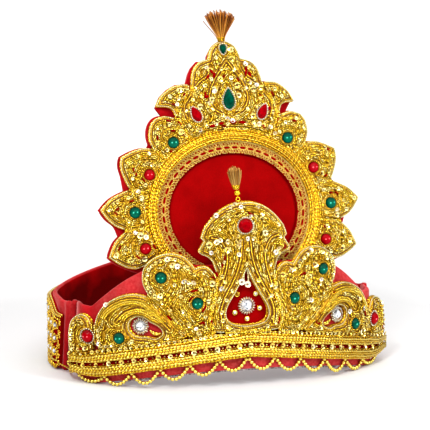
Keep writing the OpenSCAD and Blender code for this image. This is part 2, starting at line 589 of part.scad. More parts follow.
placed() headband();
placed() front_wall();
placed() lining();
placed() front_border();
placed() bead_swags();
placed() plume();
placed() halo_back();
placed() halo_ring();
placed() halo_lace();
placed() crest_core();
placed() crest_tassel();
placed() plume_tassel();
placed() plume_bead();
placed() window_dots();
placed() halo_settings();
placed() front_settings();
placed() crest_drop([0, 175.6], green_drop, 0, green_c);  // crest_drop_green
placed() crest_drop([-1.7, 206.3], tip_drop, 180, green_c);  // crest_drop_tip
for (s = sides) {
    placed() side_trim(s[1]);
    placed() end_lobe(s[1]);
    placed() paisley(s[1]);
    placed() scroll(s[1]);
    placed() crest_leaf(s[1]);
    placed()
        crest_drop([s[1] * 21.6, 167], red_drop, s[1] * -28, red_c);
}
for (p = petals, s = sides) {
    placed() petal(p, s[1]);
    placed()
        seated("halo", s[1] * p[2], p[3], seat_h) stone("cabochon", cab_d, p[4]);
}
for (p = front_pairs, s = sides)
    placed()
        seated("front", s[1] * p[1], p[2], seat_of(p)) stone(p[4], p[3], p[5]);
for (p = front_singles)
    placed()
        seated("front", p[1], p[2], seat_of(p)) stone(p[4], p[3], p[5]);
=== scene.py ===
# %% [markdown]
# # A mukut crown in velvet and gold
# The crown is a velvet ring with a tall front wall. On the wall and on the round halo behind it
# sit padded plates worked in gold: cut lengths of coiled wire, sequins, cords, beads and stones.
# The frame brings the solid pieces at their real size. This script dresses them.

# %% The frame
import json

import bpy
import numpy as np
from mathutils import Matrix, Vector


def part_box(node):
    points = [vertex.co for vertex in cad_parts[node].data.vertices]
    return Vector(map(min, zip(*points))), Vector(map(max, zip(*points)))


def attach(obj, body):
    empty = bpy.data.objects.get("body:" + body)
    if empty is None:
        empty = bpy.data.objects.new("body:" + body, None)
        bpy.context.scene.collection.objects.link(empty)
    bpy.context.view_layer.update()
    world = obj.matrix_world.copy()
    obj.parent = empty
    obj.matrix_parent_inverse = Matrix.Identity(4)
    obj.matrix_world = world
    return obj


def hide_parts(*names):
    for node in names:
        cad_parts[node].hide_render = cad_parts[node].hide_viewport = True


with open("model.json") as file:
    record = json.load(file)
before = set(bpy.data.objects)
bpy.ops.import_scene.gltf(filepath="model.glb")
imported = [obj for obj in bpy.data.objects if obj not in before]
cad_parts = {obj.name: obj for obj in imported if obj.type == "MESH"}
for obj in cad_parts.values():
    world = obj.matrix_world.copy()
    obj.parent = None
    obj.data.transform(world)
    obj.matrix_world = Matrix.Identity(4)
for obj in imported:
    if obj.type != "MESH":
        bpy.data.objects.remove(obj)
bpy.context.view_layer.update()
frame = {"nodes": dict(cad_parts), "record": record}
MM = 0.001
rng = np.random.default_rng(21)
SLOT_OF = {s["node"]: s["material_slot"] for s in frame["record"]["subparts"]}


def new_object(name, data):
    """An object at the origin, in the scene."""
    made = bpy.data.objects.new(name, data)
    bpy.context.scene.collection.objects.link(made)
    return made



# %% [markdown]
# ## The camera
# A product shot is taken from far away with a long lens, so that the crown hardly narrows with
# distance. The camera circles the crown at an azimuth and an elevation, both in degrees.

# %% Camera
VIEW_AZIMUTH, VIEW_ELEVATION = 15.08, 10.97
VIEW_DISTANCE = 1692.0
VIEW_TARGET = np.array([-10.7, -49.0, 104.0])
LENS, SENSOR = 223.4, 36.0


def look_along(azimuth, elevation):
    """The direction of sight, and the camera's right and up, for a view from azimuth and elevation."""
    az, el = np.radians([azimuth, elevation])
    sight = np.array([np.sin(az) * np.cos(el), np.cos(az) * np.cos(el), -np.sin(el)])
    right = np.array([np.cos(az), -np.sin(az), 0.0])
    return sight, right, np.cross(right, sight)


def add_camera():
    """A camera at VIEW_DISTANCE from the target, against the direction of sight."""
    sight, right, up = look_along(VIEW_AZIMUTH, VIEW_ELEVATION)
    data = bpy.data.cameras.new("shot")
    data.lens, data.sensor_width = LENS, SENSOR
    data.clip_start, data.clip_end = 0.05, 20.0
    camera = new_object("shot", data)
    place = (VIEW_TARGET - VIEW_DISTANCE * sight) * MM
    turn = Matrix(np.column_stack([right, up, -sight]).tolist()).to_4x4()
    camera.matrix_world = Matrix.Translation(Vector(place)) @ turn
    bpy.context.scene.camera = camera


add_camera()

# %% [markdown]
# ## Places on the front wall and on the halo
# The front wall is part of an upright cylinder that leans back. The halo is a gently bent,
# leaning disc. Both are worked as if they were flat: a place is x, height z, and w, the distance
# out from the velvet. Two functions turn such places into points of the crown, and back again.

# %% The two faces
WALL_R, FRONT_R = 130.0, 134.0
FRONT_LEAN, LEAN_Z = 0.106, 30.0
HALO_Z, HALO_Y, HALO_LEAN, HALO_BEND = 106.2, 34.2, 0.259, 400.0
SHIFT = np.array([0.2, -89.0, 0.0])


def unit(v):
    """Vectors of length 1 in the same directions."""
    return v / np.maximum(np.linalg.norm(v, axis=-1, keepdims=True), 1e-12)


def on_front(x, z, w):
    """A point at the angle whose sine is x / FRONT_R, w beyond the wall's radius, leaning with z."""
    x, z, w = np.broadcast_arrays(x, z, w)
    a = np.arcsin(np.clip(x / FRONT_R, -1, 1))
    r = WALL_R + w
    y = FRONT_R - r * np.cos(a) + FRONT_LEAN * (z - LEAN_Z)
    return np.stack([r * np.sin(a), y, z], -1) + SHIFT


def from_front(p):
    """x, z and w of points near the front wall: on_front the other way round."""
    q = p - SHIFT
    y = FRONT_R - (q[..., 1] - FRONT_LEAN * (q[..., 2] - LEAN_Z))
    a = np.arctan2(q[..., 0], y)
    return np.stack([FRONT_R * np.sin(a), q[..., 2], np.hypot(q[..., 0], y) - WALL_R], -1)


def front_out(x):
    """The direction straight out of the front wall at x."""
    a = np.arcsin(np.clip(x / FRONT_R, -1, 1))
    return unit(np.stack([np.sin(a), -np.cos(a), FRONT_LEAN * np.cos(a)], -1))


def halo_out(x):
    """The direction straight out of the halo at x."""
    return unit(np.stack([x / HALO_BEND, -np.ones_like(x), np.full_like(x, HALO_LEAN)], -1))


def on_halo(x, z, w):
    """A point of the leaning disc, bent by the square of x, moved w along its outward direction."""
    x, z, w = (v.astype(float) for v in np.broadcast_arrays(x, z, w))
    y = HALO_Y + HALO_LEAN * (z - HALO_Z) + x * x / (2 * HALO_BEND)
    return np.stack([x, y, z], -1) + w[..., None] * halo_out(x) + SHIFT


def from_halo(p):
    """x, z and w of points near the halo, by stepping back along the outward direction."""
    q = p - SHIFT
    w = np.zeros(q.shape[:-1])
    for _ in range(6):
        base = q - w[..., None] * halo_out(q[..., 0])
        y = HALO_Y + HALO_LEAN * (base[..., 2] - HALO_Z) + base[..., 0] ** 2 / (2 * HALO_BEND)
        w = w + (y - base[..., 1])
    base = q - w[..., None] * halo_out(q[..., 0])
    return np.stack([base[..., 0], base[..., 2], w], -1)


FRONT = {"lift": on_front, "flat": from_front, "out": front_out}
HALO = {"lift": on_halo, "flat": from_halo, "out": halo_out}


def basis_at(face, x, z, w):
    """Point, rightward, upward and outward directions of places on a face. w may be one number."""
    out = face["out"](x)
    right = unit(face["lift"](x + 0.05, z, w) - face["lift"](x - 0.05, z, w))
    return face["lift"](x, z, w), right, np.cross(out, right), out


# %% [markdown]
# ## Many small shapes in one mesh
# Gold work is thousands of short wires, sequins and beads. Each kind is one small shape, and numpy
# places all its copies at once. Scattered instances could do it too, but then a wire couldn't bend
# along its own row. A heap gathers the arrays, and one call turns them into a mesh.
# Each point also gets two numbers for the materials: how far along its wire it lies, and a shade
# that is the same all over one small shape. On the domes, the velvet and the swag beads they carry
# painted light and shade instead.


# %% The heap
class Heap:
    """Copies of small shapes as arrays: points, faces, which material, along and shade."""

    def __init__(self):
        """Nothing in it yet."""
        self.points, self.faces, self.kinds, self.smooth = [], [], [], []
        self.along, self.shade, self.count = [], [], 0

    def add(self, points, faces, kind=0, along=None, shade=None, smooth=True):
        """Adds m copies of a shape. points is (m, k, 3), and faces index the k points of one copy.
        kind is one number, or one entry for each array of faces."""
        m, k = points.shape[:2]
        starts = self.count + np.arange(m) * k
        kinds = kind if isinstance(kind, tuple) else (kind,) * len(faces)
        for f, number in zip(faces, kinds):
            self.faces.append((f[None] + starts[:, None, None]).reshape(-1, f.shape[1]))
            self.kinds.append(np.full(m * len(f), number))
            self.smooth.append(np.full(m * len(f), smooth))
        along = np.zeros((m, k)) if along is None else along
        shade = rng.random(m) if shade is None else np.asarray(shade, float)
        shade = shade if shade.ndim == 2 else shade.reshape(-1, 1)
        self.points.append(points.reshape(-1, 3))
        self.along.append(along.reshape(-1))
        self.shade.append(np.broadcast_to(shade, (m, k)).reshape(-1))
        self.count += m * k

    def triangles(self):
        """How many triangles the faces make: a face of n corners makes n - 2."""
        return int(sum(len(f) * (f.shape[1] - 2) for f in self.faces))


def make_piece(name, heap, materials, replaces=()):
    """One object from a heap, at the origin, riding on the crown's only body."""
    mesh = bpy.data.meshes.new(name)
    mesh.vertices.add(heap.count)
    mesh.vertices.foreach_set("co", (np.concatenate(heap.points) * MM).ravel())
    sizes = np.concatenate([np.full(len(f), f.shape[1]) for f in heap.faces])
    mesh.loops.add(int(sizes.sum()))
    mesh.loops.foreach_set("vertex_index", np.concatenate([f.ravel() for f in heap.faces]))
    mesh.polygons.add(len(sizes))
    mesh.polygons.foreach_set("loop_start", np.concatenate([[0], np.cumsum(sizes)[:-1]]))
    mesh.polygons.foreach_set("material_index", np.concatenate(heap.kinds))
    mesh.polygons.foreach_set("use_smooth", np.concatenate(heap.smooth))
    for word, values in (("along", heap.along), ("shade", heap.shade)):
        layer = mesh.attributes.new(word, "FLOAT", "POINT")
        layer.data.foreach_set("value", np.concatenate(values).astype(np.float32))
    mesh.update(calc_edges=True)
    for material in materials:
        mesh.materials.append(material)
    piece = new_object(name, mesh)
    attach(piece, "root")
    if replaces:
        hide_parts(*replaces)
    TRIANGLES[name] = heap.triangles()
    return piece


TRIANGLES = {}

# %% [markdown]
# ## Tubes, turned shapes and their copies
# A wire or cord is a ring of points carried along a line. A bead, sequin or cabochon is a profile
# turned about an axis, then set down many times with its own place and tilt. Bevelled curves and
# copied objects would look the same, but arrays make thousands of them in a moment.


# %% Tubes
def tube_faces(rings, sides, closed=False):
    """Quads between neighbouring rings, and a lid on each end of an open tube."""
    i = np.arange(rings if closed else rings - 1)[:, None]
    k = np.arange(sides)[None]
    a, b = i * sides + k, ((i + 1) % rings) * sides + k
    c, d = ((i + 1) % rings) * sides + (k + 1) % sides, i * sides + (k + 1) % sides
    quads = np.stack([a, b, c, d], -1).reshape(-1, 4)
    if closed:
        return [quads]
    lid = np.arange(sides)
    return [quads, np.stack([lid, (rings - 1) * sides + lid[::-1]])]


def lengths_along(lines):
    """Distance along each line (m, n, 3) from its first point."""
    step = np.linalg.norm(np.diff(lines, axis=1), axis=-1)
    return np.concatenate([np.zeros((len(lines), 1)), np.cumsum(step, 1)], 1)


def length_so_far(line):
    """Distance along one line from its first point."""
    return lengths_along(line[None])[0]


def add_tubes(heap, lines, outs, radius, sides=5, kind=0, shade=None, closed=False, lobes=0,
              pitch=2.4, squash=1.0):
    """A ring around each point: radius times (side cos t + squash up sin t), side and up square to the
    line. A cord's ring is drawn in between its lobes, and turns once round in lobes times the pitch.
    lines is one line (n, 3) or many (m, n, 3), and outs one direction or one for each point."""
    lines = lines.reshape(-1, *lines.shape[-2:])
    if closed:
        along_dir = unit(np.roll(lines, -1, 1) - np.roll(lines, 1, 1))
    else:
        along_dir = unit(np.gradient(lines, axis=1))
    side = unit(np.cross(along_dir, outs))
    up = np.cross(side, along_dir)
    t = np.arange(sides) * 2 * np.pi / sides
    along = lengths_along(lines)
    r = np.broadcast_to(radius, lines.shape[:2])[..., None]
    if lobes:
        turn = 2 * np.pi * along[..., None] / (lobes * pitch)
        r = r * (0.80 + 0.26 * np.abs(np.cos(lobes * (t - turn) / 2)))
    ring = np.cos(t)[:, None] * side[:, :, None] + squash * np.sin(t)[:, None] * up[:, :, None]
    points = lines[:, :, None] + r[..., None] * ring
    m, n = lines.shape[:2]
    heap.add(points.reshape(m, n * sides, 3), tube_faces(n, sides, closed), kind,
             np.repeat(along, sides, 1), shade)


def circle(count):
    """That many angles, evenly spread over a full turn."""
    return np.linspace(0, 2 * np.pi, count, endpoint=False)


# %% Turned shapes
def turned(profile, sides):
    """Points of a profile of (radius, height) rows turned about the axis: the radius times cos t and
    sin t, at the row's height."""
    rows = np.array(profile, float)
    t = np.arange(sides) * 2 * np.pi / sides
    return np.stack([rows[:, :1] * np.cos(t), rows[:, :1] * np.sin(t),
                     np.repeat(rows[:, 1:], sides, 1)], -1).reshape(-1, 3)


def washer(profile, sides):
    """A closed ring with a hole: the profile runs round its section, clockwise in (radius, height)."""
    return turned(profile, sides), tube_faces(len(profile), sides, True)


def dome(profile, sides):
    """A closed shape of revolution: the profile runs from its foot up to its top."""
    quads, lids = tube_faces(len(profile), sides)
    return turned(profile, sides), [quads[:, ::-1], lids[:, ::-1]]


# %% Copies of a shape
def add_copies(heap, shape, base, scale=1.0, kind=0, shade=None, tilt=0.0, smooth=True):
    """Sets the shape down at each place of base: its axis along outward, tilted at random by up to
    so many degrees, and turned by a random angle."""
    points, faces = shape
    place, right, up, out = base
    m = len(place)
    lean = np.tan(np.radians(tilt)) * np.sqrt(rng.random((m, 1)))
    where = rng.random((m, 1)) * 2 * np.pi
    axis = unit(out + lean * (np.cos(where) * right + np.sin(where) * up))
    first = unit(right - axis * (right * axis).sum(-1, keepdims=True))
    second = np.cross(axis, first)
    spin = rng.random((m, 1)) * 2 * np.pi
    u = np.cos(spin) * first + np.sin(spin) * second
    v = np.cross(axis, u)
    scale = np.broadcast_to(scale, m)[:, None, None]
    p = points[None] * scale
    world = place[:, None] + p[..., :1] * u[:, None] + p[..., 1:2] * v[:, None]
    heap.add(world + p[..., 2:] * axis[:, None], faces, kind, None, shade, smooth)


def ball(sides, rings):
    """A round bead of radius 1."""
    t = np.linspace(-np.pi / 2, np.pi / 2, rings + 2)[1:-1]
    return dome(np.stack([np.cos(t), np.sin(t)], -1), sides)


def loft(heap, rings, columns=None, along=None, shade=None):
    """One solid carried through rings of points (n, k, 3). If its volume, a sixth of the sum of
    a . (b x c) over its faces, comes out negative, the rings are read the other way round.
    columns gives the material of each of the k strips, or of each of its faces, along a number for
    each of its k lines, and shade one for each line or each point."""
    n, k = rings.shape[:2]
    columns = np.broadcast_to(0 if columns is None else columns, (n - 1, k))
    along = np.zeros(k) if along is None else np.asarray(along, float)
    shade = np.broadcast_to(0.0 if shade is None else np.asarray(shade, float), (n, k))
    middle = rings.reshape(-1, 3).mean(0)
    a, b, c = rings[:-1] - middle, rings[1:] - middle, np.roll(rings, -1, 1)[1:] - middle
    if (a * np.cross(b, c)).sum() < 0:
        rings, along, shade = rings[:, ::-1], along[::-1], shade[:, ::-1]
        columns = np.roll(columns[:, ::-1], -1, 1)
    heap.add(rings.reshape(1, n * k, 3), tube_faces(n, k), (columns.ravel(), 0),
             np.tile(along, n)[None], shade.reshape(1, -1))


SEQUIN = washer([(0.26, 0.00), (0.62, 0.05), (1.0, 0.26), (0.98, 0.14), (0.26, -0.10)], 9)
BEAD = ball(8, 5)
SEED = ball(6, 3)

# %% [markdown]
# ## Materials
# Every finish is made of nodes. Wire is bright metal whose coils are a fine ripple along the wire,
# because real coils are too fine to model, with painted shade in the ripple's grooves, and its colour
# moves with the shade of each cut length. Velvet is a dark red pile with a pale sheen at grazing
# angles, and a paler nap with a painted sheen on its hills and edges.


# %% Node helpers
def new_material(name):
    """A material with its node tree, its Principled shader and a maker of nodes."""
    material = bpy.data.materials.new(name)
    material.use_nodes = True
    tree = material.node_tree
    return material, tree, tree.nodes["Principled BSDF"]


def node(tree, kind, **inputs):
    """A node of the given kind with some inputs filled in: a value, or another node's output."""
    made = tree.nodes.new(kind)
    for key, value in inputs.items():
        numbered = key[0] == "i" and key[1:].isdigit()
        socket = made.inputs[int(key[1:]) if numbered else key.replace("_", " ")]
        if isinstance(value, bpy.types.NodeSocket):
            tree.links.new(value, socket)
        else:
            socket.default_value = value
    return made


def ramp(tree, factor, stops):
    """A colour ramp over the factor. stops are (place, colour)."""
    made = node(tree, "ShaderNodeValToRGB", Fac=factor)
    elements = made.color_ramp.elements
    while len(elements) < len(stops):
        elements.new(0.5)
    for element, (place, colour) in zip(elements, stops):
        element.position = place
        element.color = (*colour, 1.0)
    return made.outputs["Color"]


def attribute(tree, name):
    """The mesh's own number for each point, along or shade."""
    made = tree.nodes.new("ShaderNodeAttribute")
    made.attribute_name = name
    return made.outputs["Fac"]


def object_place(tree):
    """Coordinates fixed to the object."""
    return tree.nodes.new("ShaderNodeTexCoord").outputs["Object"]


def object_noise(tree, size_mm, detail=2.0):
    """Noise whose lumps are about size_mm across, fixed to the object."""
    made = node(tree, "ShaderNodeTexNoise", Vector=object_place(tree), Scale=1000.0 / size_mm,
                Detail=detail)
    return made.outputs["Fac"]


def bump(tree, height, distance_mm, normal=None):
    """Hills as high as the distance where height is 1, over the hills of another bump if one is given."""
    made = node(tree, "ShaderNodeBump", Height=height, Strength=1.0, Distance=distance_mm * MM)
    if normal is not None:
        tree.links.new(normal, made.inputs["Normal"])
    return made.outputs["Normal"]


def maths(tree, operation, first, second=0.0):
    """One step of arithmetic on numbers or other nodes' outputs."""
    made = node(tree, "ShaderNodeMath", i0=first, i1=second)
    made.operation = operation
    return made.outputs[0]


def multiply_colours(tree, first, second):
    """Two colours multiplied, channel by channel."""
    made = node(tree, "ShaderNodeVectorMath", i0=first, i1=second)
    made.operation = "MULTIPLY"
    return made.outputs[0]


def set_sockets(shader, **values):
    """Numbers and colours that are the same all over the surface."""
    for key, value in values.items():
        shader.inputs[key.replace("_", " ")].default_value = value


def paint(tree, shader, colour, normal=None):
    """Joins a colour, and bumps if there are any, to the shader."""
    tree.links.new(colour, shader.inputs["Base Color"])
    if normal is not None:
        tree.links.new(normal, shader.inputs["Normal"])


# %% Gold finishes
def gold_wire(name, stops, roughness, twist_mm, groove_shade, depth_mm=0.14):
    """Coiled or twisted metal wire. The sine of 2 pi along / twist_mm, shifted by the shade and by
    noise, sinks the metal in the grooves and paints shade there, in the last colour given."""
    material, tree, shader = new_material(name)
    set_sockets(shader, Metallic=1.0, Roughness=roughness, Coat_Weight=0.15, Coat_Roughness=0.12)
    noise, shade = object_noise(tree, 1.6), attribute(tree, "shade")
    colour = ramp(tree, maths(tree, "MULTIPLY", maths(tree, "ADD", shade, noise), 0.5), stops)
    start = maths(tree, "ADD", maths(tree, "MULTIPLY", noise, 4.0), maths(tree, "MULTIPLY", shade, 60.0))
    angle = maths(tree, "MULTIPLY", attribute(tree, "along"), 2 * np.pi / twist_mm)
    wave = maths(tree, "SINE", maths(tree, "ADD", angle, start))
    high = maths(tree, "ADD", maths(tree, "MULTIPLY", wave, 0.5), 0.5)
    painted_groove_shade = ramp(tree, high, [(0.0, groove_shade), (0.65, (1.0, 1.0, 1.0))])
    paint(tree, shader, multiply_colours(tree, colour, painted_groove_shade), bump(tree, wave, depth_mm))
    return material


# The colour after the twist is each wire's painted shade in its grooves
WIRE = gold_wire("bullion_wire", [(0.15, (0.50, 0.29, 0.015)), (0.33, (0.88, 0.62, 0.04)),
                                  (0.52, (1.0, 0.79, 0.09)), (0.74, (1.0, 0.93, 0.40))], 0.24, 1.1,
                 (0.50, 0.33, 0.16))
ROPE = gold_wire("rope_wire", [(0.22, (0.48, 0.27, 0.012)), (0.42, (0.84, 0.57, 0.035)),
                               (0.75, (1.0, 0.83, 0.20))], 0.24, 2.3, (0.62, 0.42, 0.20), 0.10)
CORD = gold_wire("pale_cord", [(0.1, (0.50, 0.36, 0.07)), (0.45, (0.93, 0.79, 0.28)),
                               (0.8, (1.0, 0.97, 0.66))], 0.30, 1.25, (0.55, 0.43, 0.26))
LACE = gold_wire("lace_thread", [(0.1, (0.70, 0.50, 0.06)), (0.5, (0.93, 0.77, 0.20)),
                                 (0.9, (1.0, 0.93, 0.45))], 0.30, 0.9, (0.85, 0.66, 0.45))


def shiny_gold(name, low, high, roughness, dent_mm, metallic=1.0):
    """Smooth plated metal with a little colour from piece to piece and shallow dents."""
    material, tree, shader = new_material(name)
    set_sockets(shader, Metallic=metallic, Roughness=roughness)
    colour = ramp(tree, attribute(tree, "shade"), [(0.0, low), (1.0, high)])
    paint(tree, shader, colour, bump(tree, object_noise(tree, 2.2), dent_mm))
    return material


SEQUIN_GOLD = shiny_gold("sequin_gold", (1.0, 0.74, 0.14), (1.0, 0.90, 0.42), 0.16, 0.04)
BEAD_GOLD = shiny_gold("bead_gold", (0.92, 0.60, 0.04), (1.0, 0.80, 0.16), 0.22, 0.02)
OLD_BEAD_GOLD = shiny_gold("old_bead_gold", (0.60, 0.33, 0.02), (0.95, 0.66, 0.08), 0.25, 0.03)
# For the swag beads: the shade attribute paints light on each bead, a bright front and a darker gold as
# shade at its edges
SHADED_SWAG_GOLD = shiny_gold("swag_bead_painted_shade", (0.80, 0.42, 0.01), (1.0, 0.85, 0.20), 0.28, 0.02)
# The colour after the twist is the painted shade in the ribbon's ripples
RIBBON_GOLD = gold_wire("flat_ribbon_gold", [(0.28, (0.34, 0.20, 0.012)), (0.5, (0.76, 0.52, 0.04)),
                                             (0.72, (1.0, 0.86, 0.30))], 0.26, 3.4,
                        (0.42, 0.28, 0.12), 0.40)
# Near-white sequins: a painted glint, bright whichever way they face
PAINTED_GLINT_SEQUIN = shiny_gold("sequin_painted_glint", (1.0, 0.86, 0.45), (1.0, 1.0, 0.90), 0.22, 0.03, 0.7)
# A dark thread: the knot in each sequin's hole, which also paints the hole's shade, and lines of painted
# shade beside the ridges and inside the rims
KNOT_AND_SHADE_THREAD = shiny_gold("knot_and_shade_thread", (0.10, 0.022, 0.003), (0.24, 0.08, 0.01), 0.5, 0.02, 0.2)


def mottled(name, patch_mm, stops, dent_mm, depth_mm, detail=2.0, **sockets):
    """A finish whose colour runs over the stops in patches, dented where depth_mm isn't zero."""
    material, tree, shader = new_material(name)
    set_sockets(shader, **sockets)
    dents = bump(tree, object_noise(tree, dent_mm, detail), depth_mm) if depth_mm else None
    paint(tree, shader, ramp(tree, object_noise(tree, patch_mm, detail), stops), dents)
    return material


# The thread-covered padding under the wires: old gold that shows in the gaps
PADDING = mottled("padding_thread", 1.4, [(0.36, (0.17, 0.055, 0.003)), (0.5, (0.52, 0.28, 0.014)),
                                          (0.66, (0.88, 0.57, 0.05))], 1.0, 0.35, 3.0,
                  Metallic=0.75, Roughness=0.42)


# %% Velvet, lining and thread
def velvet_material(name, deep, bright, sheen, fold_mm, darker=False):
    """Short pile: broad soft patches where it lies this way or that, a fine nap and soft folds. On
    the inside of the ring a painted shade deepens with the attribute along, which grows downwards.
    Elsewhere the attribute shade says how pale the pile is: partly a paler rubbed nap and partly a
    painted sheen."""
    material, tree, shader = new_material(name)
    set_sockets(shader, Roughness=0.85, Sheen_Weight=sheen, Sheen_Roughness=0.4,
                Sheen_Tint=(1.0, 0.42, 0.40, 1.0), Specular_IOR_Level=0.04)
    patches = object_noise(tree, 15.0, 5.0)
    if darker:
        calm = maths(tree, "ADD", maths(tree, "MULTIPLY", patches, 0.4), 0.35)
        patches = maths(tree, "SUBTRACT", calm, attribute(tree, "along"))
    colour = ramp(tree, patches, [(0.35, deep), (0.65, bright)])
    if sheen > 0.3:
        # Paler nap with a painted sheen, as much as the attribute shade says
        tufts = object_noise(tree, 1.7, 4.0)
        brushed_and_sheen = maths(tree, "ADD", maths(tree, "MULTIPLY", tufts, 1.2), -0.1)
        pale_nap_and_sheen = ramp(tree, maths(tree, "MULTIPLY", brushed_and_sheen, attribute(tree, "shade")),
                    [(0.0, (0.0, 0.0, 0.0)), (0.8, (0.42, 0.15, 0.14))])
        colour = node(tree, "ShaderNodeVectorMath", i0=colour, i1=pale_nap_and_sheen).outputs[0]
    nap = bump(tree, object_noise(tree, 0.5, 2.0), 0.12)
    paint(tree, shader, colour, bump(tree, object_noise(tree, 12.0, 3.0), fold_mm, nap))
    return material


VELVET = velvet_material("velvet_band", (0.30, 0.003, 0.006), (0.46, 0.007, 0.014), 0.5, 1.6)
# Velvet for the inside of the ring: a darker copy whose colour is painted shade, deepening downwards
SHADED_VELVET_INSIDE = velvet_material("velvet_inside_painted_shade", (0.15, 0.0003, 0.0006), (0.58, 0.002, 0.005),
                                0.0, 0.4, True)
# A lighter velvet under the lace: painted light where the lace shades the field
LIT_LACE_GROUND = velvet_material("lace_ground_painted_light", (0.36, 0.001, 0.002), (0.46, 0.002, 0.004), 0.0, 0.3)
VELVET_FIELD = velvet_material("velvet_field", (0.24, 0.0005, 0.001), (0.30, 0.0008, 0.0015), 0.0, 0.3)


def glitter_material():
    """Pale grey cloth with fine bright grains."""
    material, tree, shader = new_material("glitter_lining")
    set_sockets(shader, Roughness=0.5)
    grain = node(tree, "ShaderNodeTexVoronoi", Vector=object_place(tree), Scale=1300.0)
    tone = node(tree, "ShaderNodeSeparateColor", Color=grain.outputs["Color"])
    colour = ramp(tree, tone.outputs[0], [(0.0, (0.12, 0.12, 0.13)), (0.6, (0.45, 0.45, 0.46)),
                                          (1.0, (0.95, 0.95, 0.95))])
    paint(tree, shader, colour, bump(tree, tone.outputs[0], 0.2))
    return material


def thread_material(name, low, middle, high, fade):
    """Metallic thread, each one its own colour, and all of them darker towards their tips: by so
    much a millimetre."""
    material, tree, shader = new_material(name)
    set_sockets(shader, Metallic=0.5, Roughness=0.40)
    tip = maths(tree, "MULTIPLY", attribute(tree, "along"), fade)
    place = maths(tree, "SUBTRACT", maths(tree, "MULTIPLY", attribute(tree, "shade"), 0.8), tip)
    colour = ramp(tree, maths(tree, "ADD", place, 0.30), [(0.0, low), (0.5, middle), (1.0, high)])
    paint(tree, shader, colour, bump(tree, object_noise(tree, 0.9), 0.05))
    return material


LINING = glitter_material()
COPPER = thread_material("copper_thread", (0.14, 0.030, 0.002), (0.55, 0.20, 0.022),
                         (0.90, 0.54, 0.10), 0.026)
STRAW = thread_material("straw_thread", (0.16, 0.055, 0.006), (0.50, 0.25, 0.05),
                        (0.88, 0.62, 0.22), 0.022)


# %% Stones and silver
def stone_material(name, stops, base=0.0):
    """Polished glass on foil. Its colour runs with the attribute along, which holds a dome's painted
    highlights and shade, and in slow lumps. A cut stone has no such attribute, so base lifts its colour
    instead, and its larger lumps paint lighter and darker facets."""
    material, tree, shader = new_material(name)
    set_sockets(shader, Roughness=0.12, Coat_Weight=0.10, Coat_Roughness=0.03, Specular_IOR_Level=0.05)
    lumps = 0.3 if base == 0.0 else 0.55
    wobble = maths(tree, "ADD", maths(tree, "MULTIPLY", object_noise(tree, 2.2), lumps), base)
    paint(tree, shader, ramp(tree, maths(tree, "ADD", attribute(tree, "along"), wobble), stops))
    return material


# The darkest stops are a dome's painted shade, the palest its painted highlights
GREEN_STOPS = [(0.25, (0.0, 0.010, 0.005)), (0.55, (0.0, 0.070, 0.040)), (0.85, (0.0, 0.21, 0.13)),
               (1.0, (0.15, 0.80, 0.60))]
RED_STOPS = [(0.25, (0.06, 0.0, 0.001)), (0.55, (0.30, 0.0, 0.004)), (0.85, (0.52, 0.002, 0.012)),
             (1.0, (1.0, 0.32, 0.34))]
GREEN_GLASS = stone_material("green_glass", GREEN_STOPS)
RED_GLASS = stone_material("red_glass", RED_STOPS)
GREEN_CUT = stone_material("green_cut_glass", GREEN_STOPS, 0.24)
RED_CUT = stone_material("red_cut_glass", RED_STOPS, 0.26)
# Cut glass on silver foil, part metal, under a clear coat: its pale and dark patches are painted
# reflections of the facets
CRYSTAL = mottled("clear_crystal", 1.6, [(0.38, (0.10, 0.11, 0.13)), (0.45, (0.55, 0.57, 0.60)),
                                         (0.52, (0.86, 0.87, 0.90))], 0.0, 0.0,
                  Metallic=0.30, Roughness=0.12, Coat_Weight=0.8, Coat_Roughness=0.03)
SILVER = mottled("setting_silver", 0.8, [(0.3, (0.45, 0.42, 0.34)), (0.6, (0.95, 0.93, 0.84))],
                 0.5, 0.05, Metallic=0.7, Roughness=0.28)
DRESS = {"velvet": VELVET, "lining": LINING, "gold": PADDING, "thread": COPPER, "silver": SILVER,
         "red_stone": RED_CUT, "green_stone": GREEN_CUT, "crystal": CRYSTAL}
# Solids whose finish isn't their slot's: the velvet under the braids, the lighter velvet under the
# lace, which paints light into the lace's shadow, and a gold bead
OTHER_DRESS = {"side_trim_left": VELVET_FIELD, "side_trim_right": VELVET_FIELD,
               "halo_lace": LIT_LACE_GROUND, "plume_bead": BEAD_GOLD}
for name, solid in frame["nodes"].items():
    solid.data.materials.clear()
    solid.data.materials.append(OTHER_DRESS.get(name, DRESS[SLOT_OF[name]]))
print("materials:", len(bpy.data.materials))

# %% [markdown]
# ## Reading a plate
# Each plate comes from the frame as a solid. Flattened, its outward faces give the outline and the
# height of the padding at every place, so the gold work always lies on its plate.


# %% Outlines
def outward_corners(name, face):
    """Flattened corners (n, 3, 3) of the node's triangles that look out of the face."""
    mesh = frame["nodes"][name].data
    mesh.calc_loop_triangles()
    co = np.zeros(len(mesh.vertices) * 3)
    mesh.vertices.foreach_get("co", co)
    index = np.zeros(len(mesh.loop_triangles) * 3, int)
    mesh.loop_triangles.foreach_get("vertices", index)
    corners = face["flat"](co.reshape(-1, 3)[index] / MM).reshape(-1, 3, 3)
    u, v = corners[:, 1, :2] - corners[:, 0, :2], corners[:, 2, :2] - corners[:, 0, :2]
    area = u[:, 0] * v[:, 1] - u[:, 1] * v[:, 0]
    return corners[area > 0.02]


